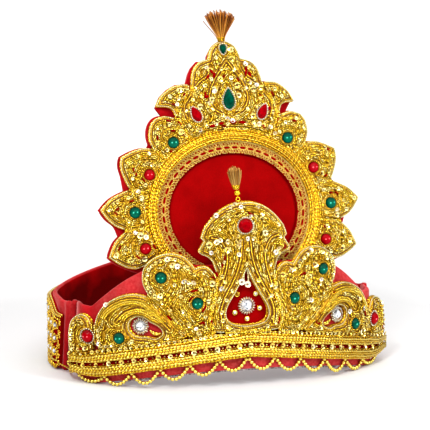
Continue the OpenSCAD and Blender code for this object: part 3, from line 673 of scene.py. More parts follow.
def edge_loops(corners):
    """Closed lines of edges that belong to one triangle only, each point once."""
    keys = np.round(corners[..., :2].reshape(-1, 2), 1)
    unique, ids = np.unique(keys, axis=0, return_inverse=True)
    tri = ids.reshape(-1, 3)
    edges = np.concatenate([tri[:, [0, 1]], tri[:, [1, 2]], tri[:, [2, 0]]])
    have = set(map(tuple, edges.tolist()))
    after = {a: b for a, b in have if (b, a) not in have and a != b}
    loops = []
    while after:
        start = next(iter(after))
        line, here = [], start
        while here in after:
            line.append(here)
            here = after.pop(here)
        if len(line) > 5:
            loops.append(unique[line])
    return loops


SAME_POINT = 0.15


def hermite(t, p, q, start, end):
    """The cubic from p to q whose slopes there are start and end: (2t^3 - 3t^2 + 1) p
    + (t^3 - 2t^2 + t) start + (3t^2 - 2t^3) q + (t^3 - t^2) end."""
    return ((2 * t**3 - 3 * t**2 + 1) * p + (t**3 - 2 * t**2 + t) * start
            + (3 * t**2 - 2 * t**3) * q + (t**3 - t**2) * end)


def smooth_loop(loop, step=0.6, corner=42.0):
    """A closed cubic curve through the points, sharp where the outline turns by more than corner
    degrees, with points about step mm apart."""
    p = np.asarray(loop, float)
    p = p[np.linalg.norm(np.roll(p, -1, 0) - p, axis=1) > SAME_POINT]
    ahead, behind = np.roll(p, -1, 0) - p, p - np.roll(p, 1, 0)
    la, lb = np.linalg.norm(ahead, axis=1), np.linalg.norm(behind, axis=1)
    cosine = (ahead * behind).sum(1) / (la * lb)
    soft = (cosine > np.cos(np.radians(corner)))[:, None]
    way = unit(ahead / la[:, None] + behind / lb[:, None])
    start = np.where(soft, way, unit(ahead)) * la[:, None]
    end = np.where(np.roll(soft, -1, 0), np.roll(way, -1, 0), unit(ahead)) * la[:, None]
    pieces = []
    for i in range(len(p)):
        n = max(1, int(round(la[i] / step)))
        t = (np.arange(n) / n)[:, None]
        pieces.append(hermite(t, p[i], p[(i + 1) % len(p)], start[i], end[i]))
    return np.concatenate(pieces)


def even_line(line, step, closed=True):
    """The line again, with points step mm apart."""
    p = np.concatenate([line, line[:1]]) if closed else line
    s = length_so_far(p)
    n = max(4, int(round(s[-1] / step)))
    t = np.linspace(0, s[-1], n, endpoint=not closed)
    return np.stack([np.interp(t, s, p[:, 0]), np.interp(t, s, p[:, 1])], -1)


def soft_line(points, steps=6):
    """An open curve of cubics through points, each slope half the way between both neighbours."""
    p = np.asarray(points, float)
    slope = np.gradient(p, axis=0)
    t = (np.arange(steps) / steps)[:, None]
    parts = [hermite(t, p[i], p[i + 1], slope[i], slope[i + 1]) for i in range(len(p) - 1)]
    return np.concatenate(parts + [p[-1:]])


# %% [markdown]
# ## Rows of wire
# An embroiderer lays wire row beside row, each following the nearest edge: the plate's outline, a
# stone's seat, or a ridge drawn inside. So the rows are level lines of one field, the distance to
# the nearest of these edges, and marching squares finds them.


# %% Fields and level lines
def distance_to(line, x, z, closed):
    """Distance from each place to the nearest stretch of the line."""
    a = line if closed else line[:-1]
    b = np.roll(line, -1, 0) if closed else line[1:]
    best = np.full(x.shape, 1e9)
    for k in range(0, len(a), 40):
        p, d = a[k:k + 40], b[k:k + 40] - a[k:k + 40]
        ax, az = x[..., None] - p[:, 0], z[..., None] - p[:, 1]
        t = np.clip((ax * d[:, 0] + az * d[:, 1]) / np.maximum((d**2).sum(1), 1e-9), 0, 1)
        best = np.minimum(best, np.hypot(ax - t * d[:, 0], az - t * d[:, 1]).min(-1))
    return best


def is_inside(loop, x, z):
    """True where a ray to the right crosses the loop an odd number of times."""
    a, b = loop, np.roll(loop, -1, 0)
    odd = np.zeros(x.shape, bool)
    for p, q in zip(a, b):
        if p[1] != q[1]:
            crosses = (p[1] > z) != (q[1] > z)
            odd ^= crosses & (x < p[0] + (z - p[1]) * (q[0] - p[0]) / (q[1] - p[1]))
    return odd


# Which edges the line crosses in a cell, by the sum of its corners' 1, 2, 4 and 8
CELL_EDGES = {1: (3, 0), 2: (0, 1), 3: (3, 1), 4: (1, 2), 5: (3, 0), 6: (0, 2), 7: (3, 2),
              8: (2, 3), 9: (2, 0), 10: (0, 1), 11: (2, 1), 12: (1, 3), 13: (1, 0), 14: (0, 3)}


def level_lines(field, xs, zs, level):
    """Marching squares: each cell's corners above the level say which two of its edges the line
    crosses, and crossings on shared edges link the cells. Returns (line, closed) pairs."""
    nx, nz = len(xs), len(zs)
    f = field - level
    up = f > 0
    case = (up[:-1, :-1] * 1 + up[:-1, 1:] * 2 + up[1:, 1:] * 4 + up[1:, :-1] * 8)
    j, i = np.nonzero((case > 0) & (case < 15))
    whole = nx * nz
    edge = np.stack([j * nx + i, whole + j * nx + i + 1, (j + 1) * nx + i, whole + j * nx + i], -1)
    pick = np.array([CELL_EDGES.get(c, (0, 0)) for c in range(16)])[case[j, i]]
    ends = np.take_along_axis(edge, pick, 1)
    meets = {}
    for a, b in ends.tolist():
        meets.setdefault(a, []).append(b)
        meets.setdefault(b, []).append(a)

    def crossing(ids):
        """Where the line crosses these grid edges."""
        ids = np.array(ids)
        upright = ids >= whole
        jj, ii = np.divmod(ids % whole, nx)
        j2, i2 = jj + upright, ii + ~upright
        t = f[jj, ii] / (f[jj, ii] - f[j2, i2])
        return np.stack([xs[ii] + t * (xs[i2] - xs[ii]), zs[jj] + t * (zs[j2] - zs[jj])], -1)

    lines, left = [], set(meets)
    starts = [e for e, n in meets.items() if len(n) == 1] + list(meets)
    for start in starts:
        if start not in left:
            continue
        chain, here = [start], start
        left.discard(start)
        while True:
            ahead = [e for e in meets[here] if e in left]
            if not ahead:
                break
            here = ahead[0]
            left.discard(here)
            chain.append(here)
        if len(chain) > 6:
            closed = len(meets[start]) == 2 and chain[-1] in meets[start]
            lines.append((crossing(chain), closed))
    return lines


# %% A plate and its fields
# The grid's step, the puff between the rows, and the room kept for ridges, seats, rims and joints
GRID, PUFF = 0.45, 1.3
RIDGE_D, SEAT_MARGIN, RIM_W, JOINT_GAP, EDGE_GAP = 2.3, 0.85, 2.2, 1.9, 0.3
FAR = 99.0


class Plate:
    """A gold plate: its face, its outlines, its padding's height and the field of its rows."""

    def __init__(self, name, face, seats=(), ridges=()):
        """Reads the node and works out its grid: inside, edge, seat_gap, rows and height."""
        self.face = face
        corners = outward_corners(name, face)
        self.loops = [smooth_loop(loop) for loop in edge_loops(corners)]
        low = corners[..., :2].reshape(-1, 2).min(0) - 3 * GRID
        high = corners[..., :2].reshape(-1, 2).max(0) + 3 * GRID
        self.xs = np.arange(low[0], high[0] + GRID, GRID)
        self.zs = np.arange(low[1], high[1] + GRID, GRID)
        x, z = np.meshgrid(self.xs, self.zs)
        self.inside = np.zeros(x.shape, bool)
        for loop in self.loops:
            self.inside ^= is_inside(loop, x, z)
        edge = np.min([distance_to(loop, x, z, True) for loop in self.loops], 0)
        self.edge = np.where(self.inside, edge, -edge)
        self.seat_gap = np.full(x.shape, FAR)
        for outline in seats:
            around = distance_to(outline, x, z, True) * np.where(is_inside(outline, x, z), -1, 1)
            self.seat_gap = np.minimum(self.seat_gap, around - SEAT_MARGIN)
        self.rows = np.minimum(self.edge - EDGE_GAP, self.seat_gap)
        for ridge in ridges:
            self.rows = np.minimum(self.rows, distance_to(ridge, x, z, False) - RIDGE_D / 2)
        self.height = self.heights(corners, x, z)
        self.ridges, self.rim, self.joined = ridges, self.edge, []

    def free_edges(self, others):
        """The rim runs only where the outline is more than JOINT_GAP from its neighbours' outlines.
        rim is the distance to those stretches, and joined holds the rest of the outline."""
        def alone(x, z):
            """True where no neighbour is near."""
            return np.min([distance_to(other, x, z, True) for other in others], 0) > JOINT_GAP

        free = [part for loop in self.loops for part in kept_parts(loop, True, alone)]
        self.joined = [part for loop in self.loops
                       for part in kept_parts(loop, True, lambda x, z: ~alone(x, z))]
        x, z = np.meshgrid(self.xs, self.zs)
        gaps = [distance_to(line, x, z, closed) for line, closed in free]
        self.rim = np.min(gaps + [np.full(x.shape, FAR)], 0)
        self.rows = np.minimum(self.rows, self.rim - RIM_W)

    def heights(self, corners, x, z):
        """Height of the outward faces over the grid, by the shares of each triangle's corners."""
        found = np.full(x.shape, -1.0)
        for a, b, c in corners:
            area = (b[0] - a[0]) * (c[1] - a[1]) - (b[1] - a[1]) * (c[0] - a[0])
            low, high = np.min([a, b, c], 0) - 0.3, np.max([a, b, c], 0) + 0.3
            box = (x > low[0]) & (x < high[0]) & (z > low[1]) & (z < high[1])
            px, pz = x[box], z[box]
            s = ((px - a[0]) * (c[1] - a[1]) - (pz - a[1]) * (c[0] - a[0])) / area
            t = ((b[0] - a[0]) * (pz - a[1]) - (b[1] - a[1]) * (px - a[0])) / area
            w = a[2] + s * (b[2] - a[2]) + t * (c[2] - a[2])
            w = np.where((s > -0.05) & (t > -0.05) & (s + t < 1.05), w, -1.0)
            found[box] = np.maximum(found[box], w)
        top = found[found > 0].min() if (found > 0).any() else corners[..., 2].min()
        return np.where(found > 0, found, top)

    def read(self, array, x, z):
        """Values of a grid array at any places, by shares of the four grid points around each."""
        fx = np.clip((x - self.xs[0]) / GRID, 0, len(self.xs) - 1.001)
        fz = np.clip((z - self.zs[0]) / GRID, 0, len(self.zs) - 1.001)
        i, j = fx.astype(int), fz.astype(int)
        u, v = fx - i, fz - j
        return ((1 - u) * (1 - v) * array[j, i] + u * (1 - v) * array[j, i + 1]
                + (1 - u) * v * array[j + 1, i] + u * v * array[j + 1, i + 1])

    def lines(self, array, level):
        """Level lines of a grid array."""
        return level_lines(array, self.xs, self.zs, level)

    def over(self, height):
        """A function of x, z: so much above the padding."""
        return lambda x, z: self.read(self.height, x, z) + height

    def puff(self, x, z):
        """Extra padding between edges, seats and ridges: PUFF times 1 less e to the -distance / 2.5."""
        return PUFF * (1 - np.exp(-np.maximum(self.read(self.rows, x, z), 0) / 2.5))

    def top(self, x, z):
        """Height of the padding with its puff."""
        return self.read(self.height, x, z) + self.puff(x, z)


# %% Wires and cords on a plate
def kept_parts(line, closed, keep):
    """The stretches of a line whose points pass the test, as (line, closed) pairs."""
    good = keep(line[:, 0], line[:, 1])
    if good.all():
        return [(line, closed)]
    if closed:
        first = np.flatnonzero(~good)[0]
        line, good = np.roll(line, -first, 0), np.roll(good, -first)
    flags = np.concatenate([[0], good.astype(int), [0]])
    ends = np.flatnonzero(np.diff(flags)).reshape(-1, 2)
    return [(line[a:b], False) for a, b in ends if b - a > 5]


SHORTEST_ROW = 1.6


def cut_lengths(line, closed, low, high, count):
    """Cuts a line into lengths of low to high mm, each given by count points."""
    p = np.concatenate([line, line[:1]]) if closed else line
    s = length_so_far(p)
    if s[-1] < SHORTEST_ROW:
        return np.zeros((0, count, 2))
    parts = max(1, int(round(s[-1] / ((low + high) / 2))))
    cuts = np.sort(np.linspace(0, s[-1], parts + 1)
                   + np.concatenate([[0], rng.uniform(-0.3, 0.3, parts - 1) * (high - low), [0]]))
    t = cuts[:-1, None] + np.diff(cuts)[:, None] * np.linspace(0.02, 0.98, count)
    return np.stack([np.interp(t, s, p[:, 0]), np.interp(t, s, p[:, 1])], -1)


def lay_wires(heap, plate, lines, d, low, high, count=8, loose=1.0):
    """Short wires along the lines. Each rises from the padding at one end, runs level and dips at
    the other, and its radius swells and narrows like crimped coil. loose is how far the wires dip,
    turn and lean, and how many of them are left out or show the velvet instead."""
    cut = [cut_lengths(line, closed, low, high, count) for line, closed in lines]
    if not sum(map(len, cut)):
        return
    cut = np.concatenate(cut)
    cut = cut[rng.random(len(cut)) >= 0.04 * loose]
    m = len(cut)
    turn = np.radians(rng.normal(0, 4 * loose, (m, 1)))
    middle = cut.mean(1, keepdims=True)
    off = cut - middle
    cut = middle + np.stack([off[..., 0] * np.cos(turn) - off[..., 1] * np.sin(turn),
                             off[..., 0] * np.sin(turn) + off[..., 1] * np.cos(turn)], -1)
    t = np.linspace(-1, 1, count)
    w = plate.read(plate.height, cut[..., 0], cut[..., 1])
    w = w + d * (0.42 - (0.08 + 0.5 * loose) * t**6)
    w = w + rng.normal(0, 0.03 + 0.11 * loose, (m, 1)) * (1 + 0.8 * t)
    crimp = 1 + 0.12 * np.where(np.arange(count) % 2, 1, -1)
    radius = d / 2 * crimp * (1 - 0.3 * t**8) * rng.uniform(0.9, 1.1, (m, 1))
    w = w + plate.puff(cut[..., 0], cut[..., 1])
    points, outs = plate.face["lift"](cut[..., 0], cut[..., 1], w), plate.face["out"](cut[..., 0])
    bare = rng.random(m) < 0.02 * loose
    for chosen, kind in ((~bare, WIRE_KIND), (bare, VELVET_KIND)):
        if chosen.any():
            add_tubes(heap, points[chosen], outs[chosen], radius[chosen], 5, kind)


def lay_cord(heap, face, line, closed, w, d, kind=1, step=0.7, lobes=2, pitch=2.2, shade=0.5, sides=6,
             squash=1.0):
    """A cord along a line on a face, at height w above the velvet: a number, or a function of x, z."""
    x, z = even_line(line, step, closed).T
    points = face["lift"](x, z, w(x, z) if callable(w) else w)
    add_tubes(heap, points, face["out"](x), d / 2, sides, kind, shade, closed, lobes, pitch, squash)


# %% [markdown]
# ## Stones
# The frame's stones give their own places and sizes. The wires leave room for each of them, so their
# outlines are worked out before the plates.

# %% Where the stones are
HALO_NODES = ("petal", "crest", "halo")


def face_of(name):
    """The face that a node belongs to, by its name."""
    return HALO if name.startswith(HALO_NODES) else FRONT


def seat_of(name):
    """x, z, w of a stone's middle and the radius of its girdle."""
    low, high = (np.array(c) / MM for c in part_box(name))
    x, z, w = face_of(name)["flat"]((low + high) / 2)
    return x, z, w, (high[2] - low[2]) / 2


def stone_outline(name):
    """The stone's outline on its face: a circle, narrowed where the front turns away from x, or for
    a drop the edge of its solid."""
    if "drop" not in name:
        x, z, _, r = SEATS[name]
        t = circle(48)
        narrow = np.sqrt(1 - (x / FRONT_R) ** 2) if face_of(name) is FRONT else 1.0
        return np.stack([x + narrow * r * np.cos(t), z + r * np.sin(t)], -1)
    loops = edge_loops(outward_corners(name, face_of(name)))
    return smooth_loop(max(loops, key=len), 0.5)


STONES = [n for n in frame["nodes"] if SLOT_OF[n] in ("red_stone", "green_stone", "crystal")
          and n != "window_dots"]
SEATS = {n: seat_of(n) for n in STONES}
OUTLINES = {n: stone_outline(n) for n in STONES}
print("stones:", len(STONES))


# %% Plates and ridges
# Ridges inside the plates, by x and z in mm, drawn for the right-hand side and mirrored for the left
RIDGES = {
    "scroll": [[(48.1, 78.5), (45.3, 75.4), (44.6, 69.8), (46.2, 64.2), (49.3, 59.1), (51.5, 55)],
               [(33.4, 74.9), (29.9, 72.4), (27, 67.3), (26, 61.1), (27.9, 54.9), (31.7, 47.5)]],
    "paisley": [[(78, 42), (75.8, 45.2), (71.8, 48.9), (65.5, 51), (59.3, 49.3), (53.7, 44.6),
                 (48.1, 38.5)]],
    "plume": [[(16.4, 41), (17, 50), (14, 59), (9.6, 67), (6, 75), (3.6, 84), (2.6, 94)],
              [(17.6, 62), (14.6, 71), (12.6, 79), (12.4, 87), (16.2, 94), (21.6, 96)]],
    "crest_core": [[(4, 166), (10, 170), (12.4, 177), (9.4, 186), (4, 194), (0.6, 199)],
                   [(21.4, 183), (17.6, 187), (13, 190), (10, 196)],
                   [(27, 165), (28.4, 172), (24, 179)]],
}
PLATE_NODES = [n for n in frame["nodes"] if SLOT_OF[n] == "gold"
               and n.startswith(("petal", "crest", "scroll", "paisley", "end_lobe", "plume"))
               and n != "plume_bead"]


def make_plate(name):
    """Reads a plate, with the seats of the stones that stand on it and its ridges."""
    face = face_of(name)
    low, high = (np.array(c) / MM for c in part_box(name))
    seats = []
    for stone, (x, z, w, r) in SEATS.items():
        px, _, pz = face["lift"](x, z, w)
        if face_of(stone) is face and low[0] < px < high[0] and low[2] < pz < high[2]:
            seats.append(OUTLINES[stone])
    sides = [side for side, end in ((-1, "_left"), (1, "_right")) if name.endswith(end)] or [-1, 1]
    ridges = [even_line(soft_line(np.array(line, float) * [side, 1]), 0.8, False)
              for word, found in RIDGES.items() if name.startswith(word)
              for line in found for side in sides]
    return Plate(name, face, seats, ridges)


PLATES = {n: make_plate(n) for n in PLATE_NODES}
RING_PLATE, BORDER_PLATE = Plate("halo_ring", HALO), Plate("front_border", FRONT)
for name, plate in PLATES.items():
    near = [RING_PLATE if plate.face is HALO else BORDER_PLATE]
    near += [p for n, p in PLATES.items() if n != name and p.face is plate.face]
    plate.free_edges([loop for p in near for loop in p.loops])
print("plates:", {n: [len(l) for l in p.loops] for n, p in PLATES.items()})

# %% [markdown]
# ## Dressing a plate
# The rim is a thin pale cord on the edge with a gold and a dark one inside it, and more down the
# side. Inside it the wires run in rows, and a cord between two dark lines marks each ridge. These
# dark lines are painted shade. Sequins are sewn over them, each held by a dark knot, which also paints
# the shade in its hole. The scrolls' ridges are flat crumpled ribbon, and long coils are couched down
# along the paisleys' upper edges. Only the brightest sequins, whose near-white colour is a painted
# glint, have a list of places. The others run in a chain at one distance from the edge, or are drawn
# at random clear of it, because their exact places don't show.

# %% Dressing
WIRE_KIND, CORD_KIND, SEQUIN_KIND, BEAD_KIND, RIBBON_KIND, ROPE_KIND, VELVET_KIND, KNOT_AND_SHADE_KIND = range(8)
WORK = [WIRE, CORD, SEQUIN_GOLD, BEAD_GOLD, RIBBON_GOLD, ROPE, VELVET_FIELD, KNOT_AND_SHADE_THREAD]
ROW_PITCH = 1.10
SMALL_SEQUIN, BIG_SEQUIN = 1.30, 1.95
CHAIN_LIFT, SCATTER_LIFT = 1.15, 1.25


# %% Sequins
def sew_sequins(heap, face, x, z, w, tilt=20.0, size=SMALL_SEQUIN):
    """A cupped sequin at each place, with a dark knot in its hole, which also paints the hole's shade."""
    x, z, w = (np.asarray(v, float) for v in (x, z, w))
    if not len(x):
        return
    add_copies(heap, SEQUIN, basis_at(face, x, z, w), size * rng.uniform(0.9, 1.1, len(x)),
               SEQUIN_KIND, tilt=tilt, smooth=False)
    add_copies(heap, SEED, basis_at(face, x, z, w + 0.05), 0.32 * size, KNOT_AND_SHADE_KIND)


def everywhere(x, z):
    """Keeps every place."""
    return np.ones(x.shape, bool)


def chain_of_sequins(heap, plate, level, pitch, keep=everywhere):
    """Sequins at an even pitch along a line at a distance from the plate's edge."""
    for line, closed in plate.lines(plate.edge, level):
        x, z = even_line(line, pitch, closed).T
        clear = (plate.read(plate.seat_gap, x, z) > SMALL_SEQUIN) & keep(x, z)
        x, z = x[clear], z[clear]
        sew_sequins(heap, plate.face, x, z, plate.top(x, z) + CHAIN_LIFT)


def scatter_sequins(heap, plate, spacing, keep=everywhere):
    """Sequins at random, none nearer to another than the spacing."""
    low, high = plate.loops[0].min(0), plate.loops[0].max(0)
    tries = rng.uniform(low, high, (900, 2))
    x, z = tries[:, 0], tries[:, 1]
    fine = (plate.read(plate.edge, x, z) > 2.6) & (plate.read(plate.seat_gap, x, z) > 1.6) & keep(x, z)
    chosen = np.zeros((0, 2))
    for p in tries[fine]:
        if not len(chosen) or np.hypot(*(chosen - p).T).min() > spacing:
            chosen = np.vstack([chosen, p])
    size = np.where(rng.random(len(chosen)) < 0.22, BIG_SEQUIN, SMALL_SEQUIN)
    x, z = chosen.T
    sew_sequins(heap, plate.face, x, z, plate.top(x, z) + SCATTER_LIFT, 24.0, size)


# %% Rims, rows and ridges
def rim_cords(heap, plate):
    """Where the outline is free, a thin pale cord on the edge, a gold one and a dark one inside it,
    whose darkness is painted shade, and more down the side. Where the plate meets another, a row of
    wire over the joint."""
    def by_rim(reach):
        """A test for places that close to the free outline."""
        return lambda x, z: plate.read(plate.rim, x, z) < reach

    for level, d, shade, kind in ((0.30, 0.80, 1.0, CORD_KIND), (1.30, 0.70, 0.5, WIRE_KIND),
                                  (1.98, 0.62, 0.7, KNOT_AND_SHADE_KIND)):
        for line, closed in plate.lines(plate.edge, level):
            for part, whole in kept_parts(line, closed, by_rim(level + 0.5)):
                lay_cord(heap, plate.face, part, whole, plate.over(0.3), d, kind, shade=shade, sides=5)
    for w, shade in ((0.6, 0.2), (1.6, 0.4)):
        for loop in plate.loops:
            for part, whole in kept_parts(loop, True, by_rim(0.8)):
                lay_cord(heap, plate.face, part, whole, w, 0.9, ROPE_KIND, step=1.0, shade=shade, sides=5)
    lay_wires(heap, plate, plate.joined, 1.5, 2.0, 4.2, loose=0.4)


def couch_strand(heap, plate, level, shade, keep):
    """A long coil along a line at a distance from the edge."""
    for line, closed in plate.lines(plate.edge, level):
        for part, _ in kept_parts(line, closed, keep):
            lay_cord(heap, plate.face, part, False, lambda x, z: plate.top(x, z) + 0.75,
                     1.35, WIRE_KIND, shade=shade, lobes=0, sides=7)


def row_wires(heap, plate):
    """Wires along the level lines of the field, one row after another until none is left. The
    halo's are shorter, and have fewer points."""
    low, high, count = (1.7, 3.9, 6) if plate.face is HALO else (2.4, 6.6, 8)
    k = 0
    while lines := plate.lines(plate.rows, ROW_PITCH * (k + 0.5)):
        lay_wires(heap, plate, lines, ROW_PITCH * 0.98, low, high, count)
        k += 1


def lay_ridges(heap, plate, ribbon):
    """A flat ribbon along each ridge, or a cord between two dark lines of painted shade."""
    for ridge in plate.ridges:
        if ribbon:
            lay_cord(heap, plate.face, ridge, False, plate.over(0.8), 2.2, RIBBON_KIND, shade=0.5,
                     lobes=0, squash=0.6, sides=8)
            continue
        lay_cord(heap, plate.face, ridge, False, plate.over(0.8), 1.15, WIRE_KIND, shade=0.3, lobes=0,
                 sides=8)
        ahead = unit(np.gradient(ridge, axis=0))
        across = 0.88 * np.stack([-ahead[:, 1], ahead[:, 0]], -1)
        for beside in (ridge + across, ridge - across):
            lay_cord(heap, plate.face, beside, False, plate.over(0.35), 0.6, KNOT_AND_SHADE_KIND, shade=0.7,
                     sides=5)


# %% Each kind of plate
def dress_plate(name):
    """Everything sewn on one plate, by the kind of plate."""
    plate, heap = PLATES[name], Heap()
    side = -1 if name.endswith("_left") else 1
    rim_cords(heap, plate)
    row_wires(heap, plate)
    lay_ridges(heap, plate, name.startswith("scroll"))
    if name.startswith("petal"):
        scatter_sequins(heap, plate, 7.0, lambda x, z: plate.read(plate.edge, x, z) < 5.5)
    elif name.startswith("crest"):
        scatter_sequins(heap, plate, 4.9)
    elif name == "plume":
        chain_of_sequins(heap, plate, 2.8, 6.6, lambda x, z: (z < 74) & (np.abs(x) < 16))
        scatter_sequins(heap, plate, 7.6, lambda x, z: (z > 76) | (np.abs(x) > 13))
    elif name.startswith("scroll"):
        chain_of_sequins(heap, plate, 3.0, 3.0, lambda x, z: (z > 55) & (np.abs(x) > 30))
        scatter_sequins(heap, plate, 7.0)
    elif name.startswith("paisley"):
        for level, shade in ((2.7, 0.15), (3.9, 0.55), (5.1, 0.3)):
            couch_strand(heap, plate, level, shade, lambda x, z: (z > 43) & (side * x < 88))
        chain_of_sequins(heap, plate, 3.1, 3.3, lambda x, z: (z < 36) & (side * x > 48))
        scatter_sequins(heap, plate, 6.5, lambda x, z: plate.read(plate.edge, x, z) > 5.5)
    elif name.startswith("end_lobe"):
        chain_of_sequins(heap, plate, 3.0, 3.2)
    return heap


# %% The brightest sequins
def bright_sequins():
    """The sequins that turn to the light, in a near-white colour that paints their glints, on whichever
    plate lies highest at their place.
    """
    heap = Heap()
    for face, places in ((FRONT, FRONT_BRIGHT), (HALO, HALO_BRIGHT)):
        x, z = np.array(places, float).T
        w = np.full(len(x), 3.0)
        for plate in PLATES.values():
            if plate.face is face:
                over = plate.read(plate.inside.astype(float), x, z) > 0.5
                near = (x > plate.xs[0]) & (x < plate.xs[-1]) & (z > plate.zs[0]) & (z < plate.zs[-1])
                w = np.where(over & near, np.maximum(w, plate.top(x, z) + CHAIN_LIFT), w)
        add_copies(heap, SEQUIN, basis_at(face, x, z, w), rng.uniform(1.3, 1.8, len(x)), 0, tilt=34.0,
                   smooth=False)
        add_copies(heap, SEED, basis_at(face, x, z, w + 0.05), 0.52, 1)
    return heap


# Places x, z of the brightest sequins, whose glints are painted, on the front and on the halo
FRONT_BRIGHT = [(-9.4, 115.2), (-6.5, 116.4), (-2.9, 115), (8, 114.3), (-18.5, 109.8), (2.8, 109),
                (-18.5, 93.5), (-16.4, 94.4), (-12.1, 93.7), (-4, 93.5), (-4.7, 91), (0.5, 95.1),
                (-22, 87), (-5.1, 85.5), (19.1, 85.5), (20.9, 87.8), (18.4, 63), (-16.2, 64.3),
                (-39, 69.5), (-33.2, 68.7), (-48.3, 82.7), (-42.4, 78.7), (-98, 41.7), (-84, 51.7),
                (-88, 27), (-32.4, 39.6), (29.4, 73), (50, 65), (44.3, 83.6), (36, 78), (45.4, 75),
                (29.3, 49.7), (42, 53), (83, 40.3), (73.4, 40.3), (80.4, 26.2), (95.5, 40.6)]
HALO_BRIGHT = [(-13, 195.2), (12.2, 196.5), (15, 196.5), (-8.9, 180.5), (-12.2, 173.6), (-32, 170.1),
               (-33.2, 173.2), (8.7, 188.7), (14.2, 185.2), (11.1, 181.8), (18.7, 183.5), (-1.8, 163.7),
               (1.3, 162), (-19.4, 156.8), (26.1, 157.2), (28.6, 153.3), (18.3, 159.4), (-60.5, 120.5),
               (-64.3, 95.5), (-57.6, 92.7), (67, 103.5)]


# %% Slits of velvet
def velvet_patches(places):
    """Slits where the velvet shows between the wires. places holds x, z, half length and angle."""
    heap = Heap()
    t = np.linspace(-1, 1, 9)
    for x, z, half, angle in places:
        x = x + half * t * np.cos(np.radians(angle))
        z = z + half * t * np.sin(np.radians(angle))
        w = PLATES["crest_core"].top(x, z) + CHAIN_LIFT
        radius = 0.15 + 0.85 * (1 - t**2)
        add_tubes(heap, on_halo(x, z, w), halo_out(x), radius, 6, squash=0.5)
    return heap


# Red slits in the crest: x, z, half length and angle from level
SLITS = [(12.4, 192.6, 3.4, 82), (-10.2, 193.2, 2.4, 120), (-8.6, 190.4, 2.0, 75),
         (-12.6, 189.6, 1.8, 60), (14.6, 190.2, 2.0, 110), (-14.2, 177.4, 1.6, 20),
         (-11.4, 159.4, 2.4, 12), (-6.0, 160.6, 1.8, 6), (1.4, 161.2, 2.6, 0), (7.6, 160.8, 2.6, -4),
         (26.0, 168.6, 1.6, 60), (21.5, 157.6, 1.5, 130)]

for name in PLATES:
    make_piece(name + "_work", dress_plate(name), WORK)
make_piece("crest_slits", velvet_patches(SLITS), [VELVET_FIELD])
make_piece("bright_sequins", bright_sequins(), [PAINTED_GLINT_SEQUIN, KNOT_AND_SHADE_THREAD])
print("work:", sum(TRIANGLES.values()), "triangles")

# %% [markdown]
# ## The corded ring and the lace
# Around the velvet field lies a braided lace of thin gold thread, with a row of red gaps between its
# two bands. Outside it ropes lie side by side over the ring's padding, between cords on its edges.
# Sine waves round an ellipse braid the strands, so that no crossing has to be placed by hand.


# %% Ring and lace
FIELD_A, FIELD_B, RING_IN, RING_W = 42.0, 36.3, 7.5, 7.0
LOOPS = 72
RING_ROPES, RING_ROPE_PITCH = 3, 1.16


def oval(angle, out):
    """Points at the angle on the ellipse whose half axes are out beyond the field's."""
    a, b = FIELD_A + out, FIELD_B + out
    r = 1 / np.hypot(np.cos(angle) / a, np.sin(angle) / b)
    return r * np.cos(angle), HALO_Z + r * np.sin(angle)


def corded_ring():
    """Twisted ropes side by side over the ring's rounded section, counted from both of its edges,
    with two cords down its inner side and one on its outer edge."""
    plate, heap = RING_PLATE, Heap()
    for k in range(RING_ROPES):
        for n, (line, closed) in enumerate(plate.lines(plate.edge, 0.62 + RING_ROPE_PITCH * k)):
            shade = 0.10 + 0.18 * ((k + n) % 3)
            lay_cord(heap, HALO, line, closed, plate.over(0.5), 1.3, ROPE_KIND, 0.8, 2, 2.9, shade, 7)
    for out, w in ((RING_IN + 0.1, 0.9), (RING_IN + 0.1, 2.0), (RING_IN + RING_W, 2.0)):
        line = np.stack(oval(circle(400), out), -1)
        lay_cord(heap, HALO, line, True, w, 1.1, CORD_KIND, step=0.9, shade=0.5)
    return heap


# %% The lace
def oval_thread(heap, angle, out, w, radius, sides=5, kind=0, shade=0.5):
    """A closed thread round the ellipse at a distance beyond the field and a height."""
    x, z = oval(angle, out)
    add_tubes(heap, on_halo(x, z, w), halo_out(x), radius, sides, kind, shade, True)


def braided_lace():
    """Two bands of two strands that cross, each swinging by the sine and rising by the cosine of
    LOOPS times the angle, a little uneven as handwork is. Straight threads run on the edges next to
    the red gaps and the ring, crossed bars between the bands, and a red cord under the gaps."""
    heap = Heap()
    angle = circle(LOOPS * 10)
    for middle, edges in ((1.25, (1.35,)), (5.85, (-1.35, 1.35))):
        for k in range(2):
            uneven = 0.5 * np.sin(19 * angle + 2 * k), 0.4 * np.sin(41 * angle + 4 * k)
            phase = LOOPS * angle + np.pi * k + uneven[0] + uneven[1]
            oval_thread(heap, angle, middle + 1.15 * np.sin(phase), 2.15 + 0.38 * np.cos(phase), 0.36,
                        shade=0.4 + 0.4 * k)
        for edge in edges:
            oval_thread(heap, angle[::3], middle + edge, 1.95, 0.3)
    t = np.linspace(0, 1, 5)
    for lean in (-0.034, 0.034):
        x, z = oval(np.radians(np.arange(48) * 7.5)[:, None] + lean * (2 * t - 1), 2.3 + 2.5 * t)
        add_tubes(heap, on_halo(x, z, 2.0 + 0.5 * np.sin(np.pi * t)), halo_out(x), 0.42, 5, 0)
    oval_thread(heap, angle[::6], 3.55, 1.35, 1.05, 6, 1)
    return heap


# %% The velvet field
def field_disc():
    """A thin disc of velvet over the middle of the halo, puffed by 1 less the square of the share."""
    x, z = oval(circle(96), -0.1)
    front = [(share, 0.5 * (1 - share**2)) for share in (0.02, 0.25, 0.5, 0.7, 0.85, 0.95, 1)]
    back = [(1, -0.17), (0.02, -0.17)]
    heap = Heap()
    loft(heap, np.stack([on_halo(x * share, HALO_Z + (z - HALO_Z) * share, w)
                         for share, w in front + back]))
    return heap


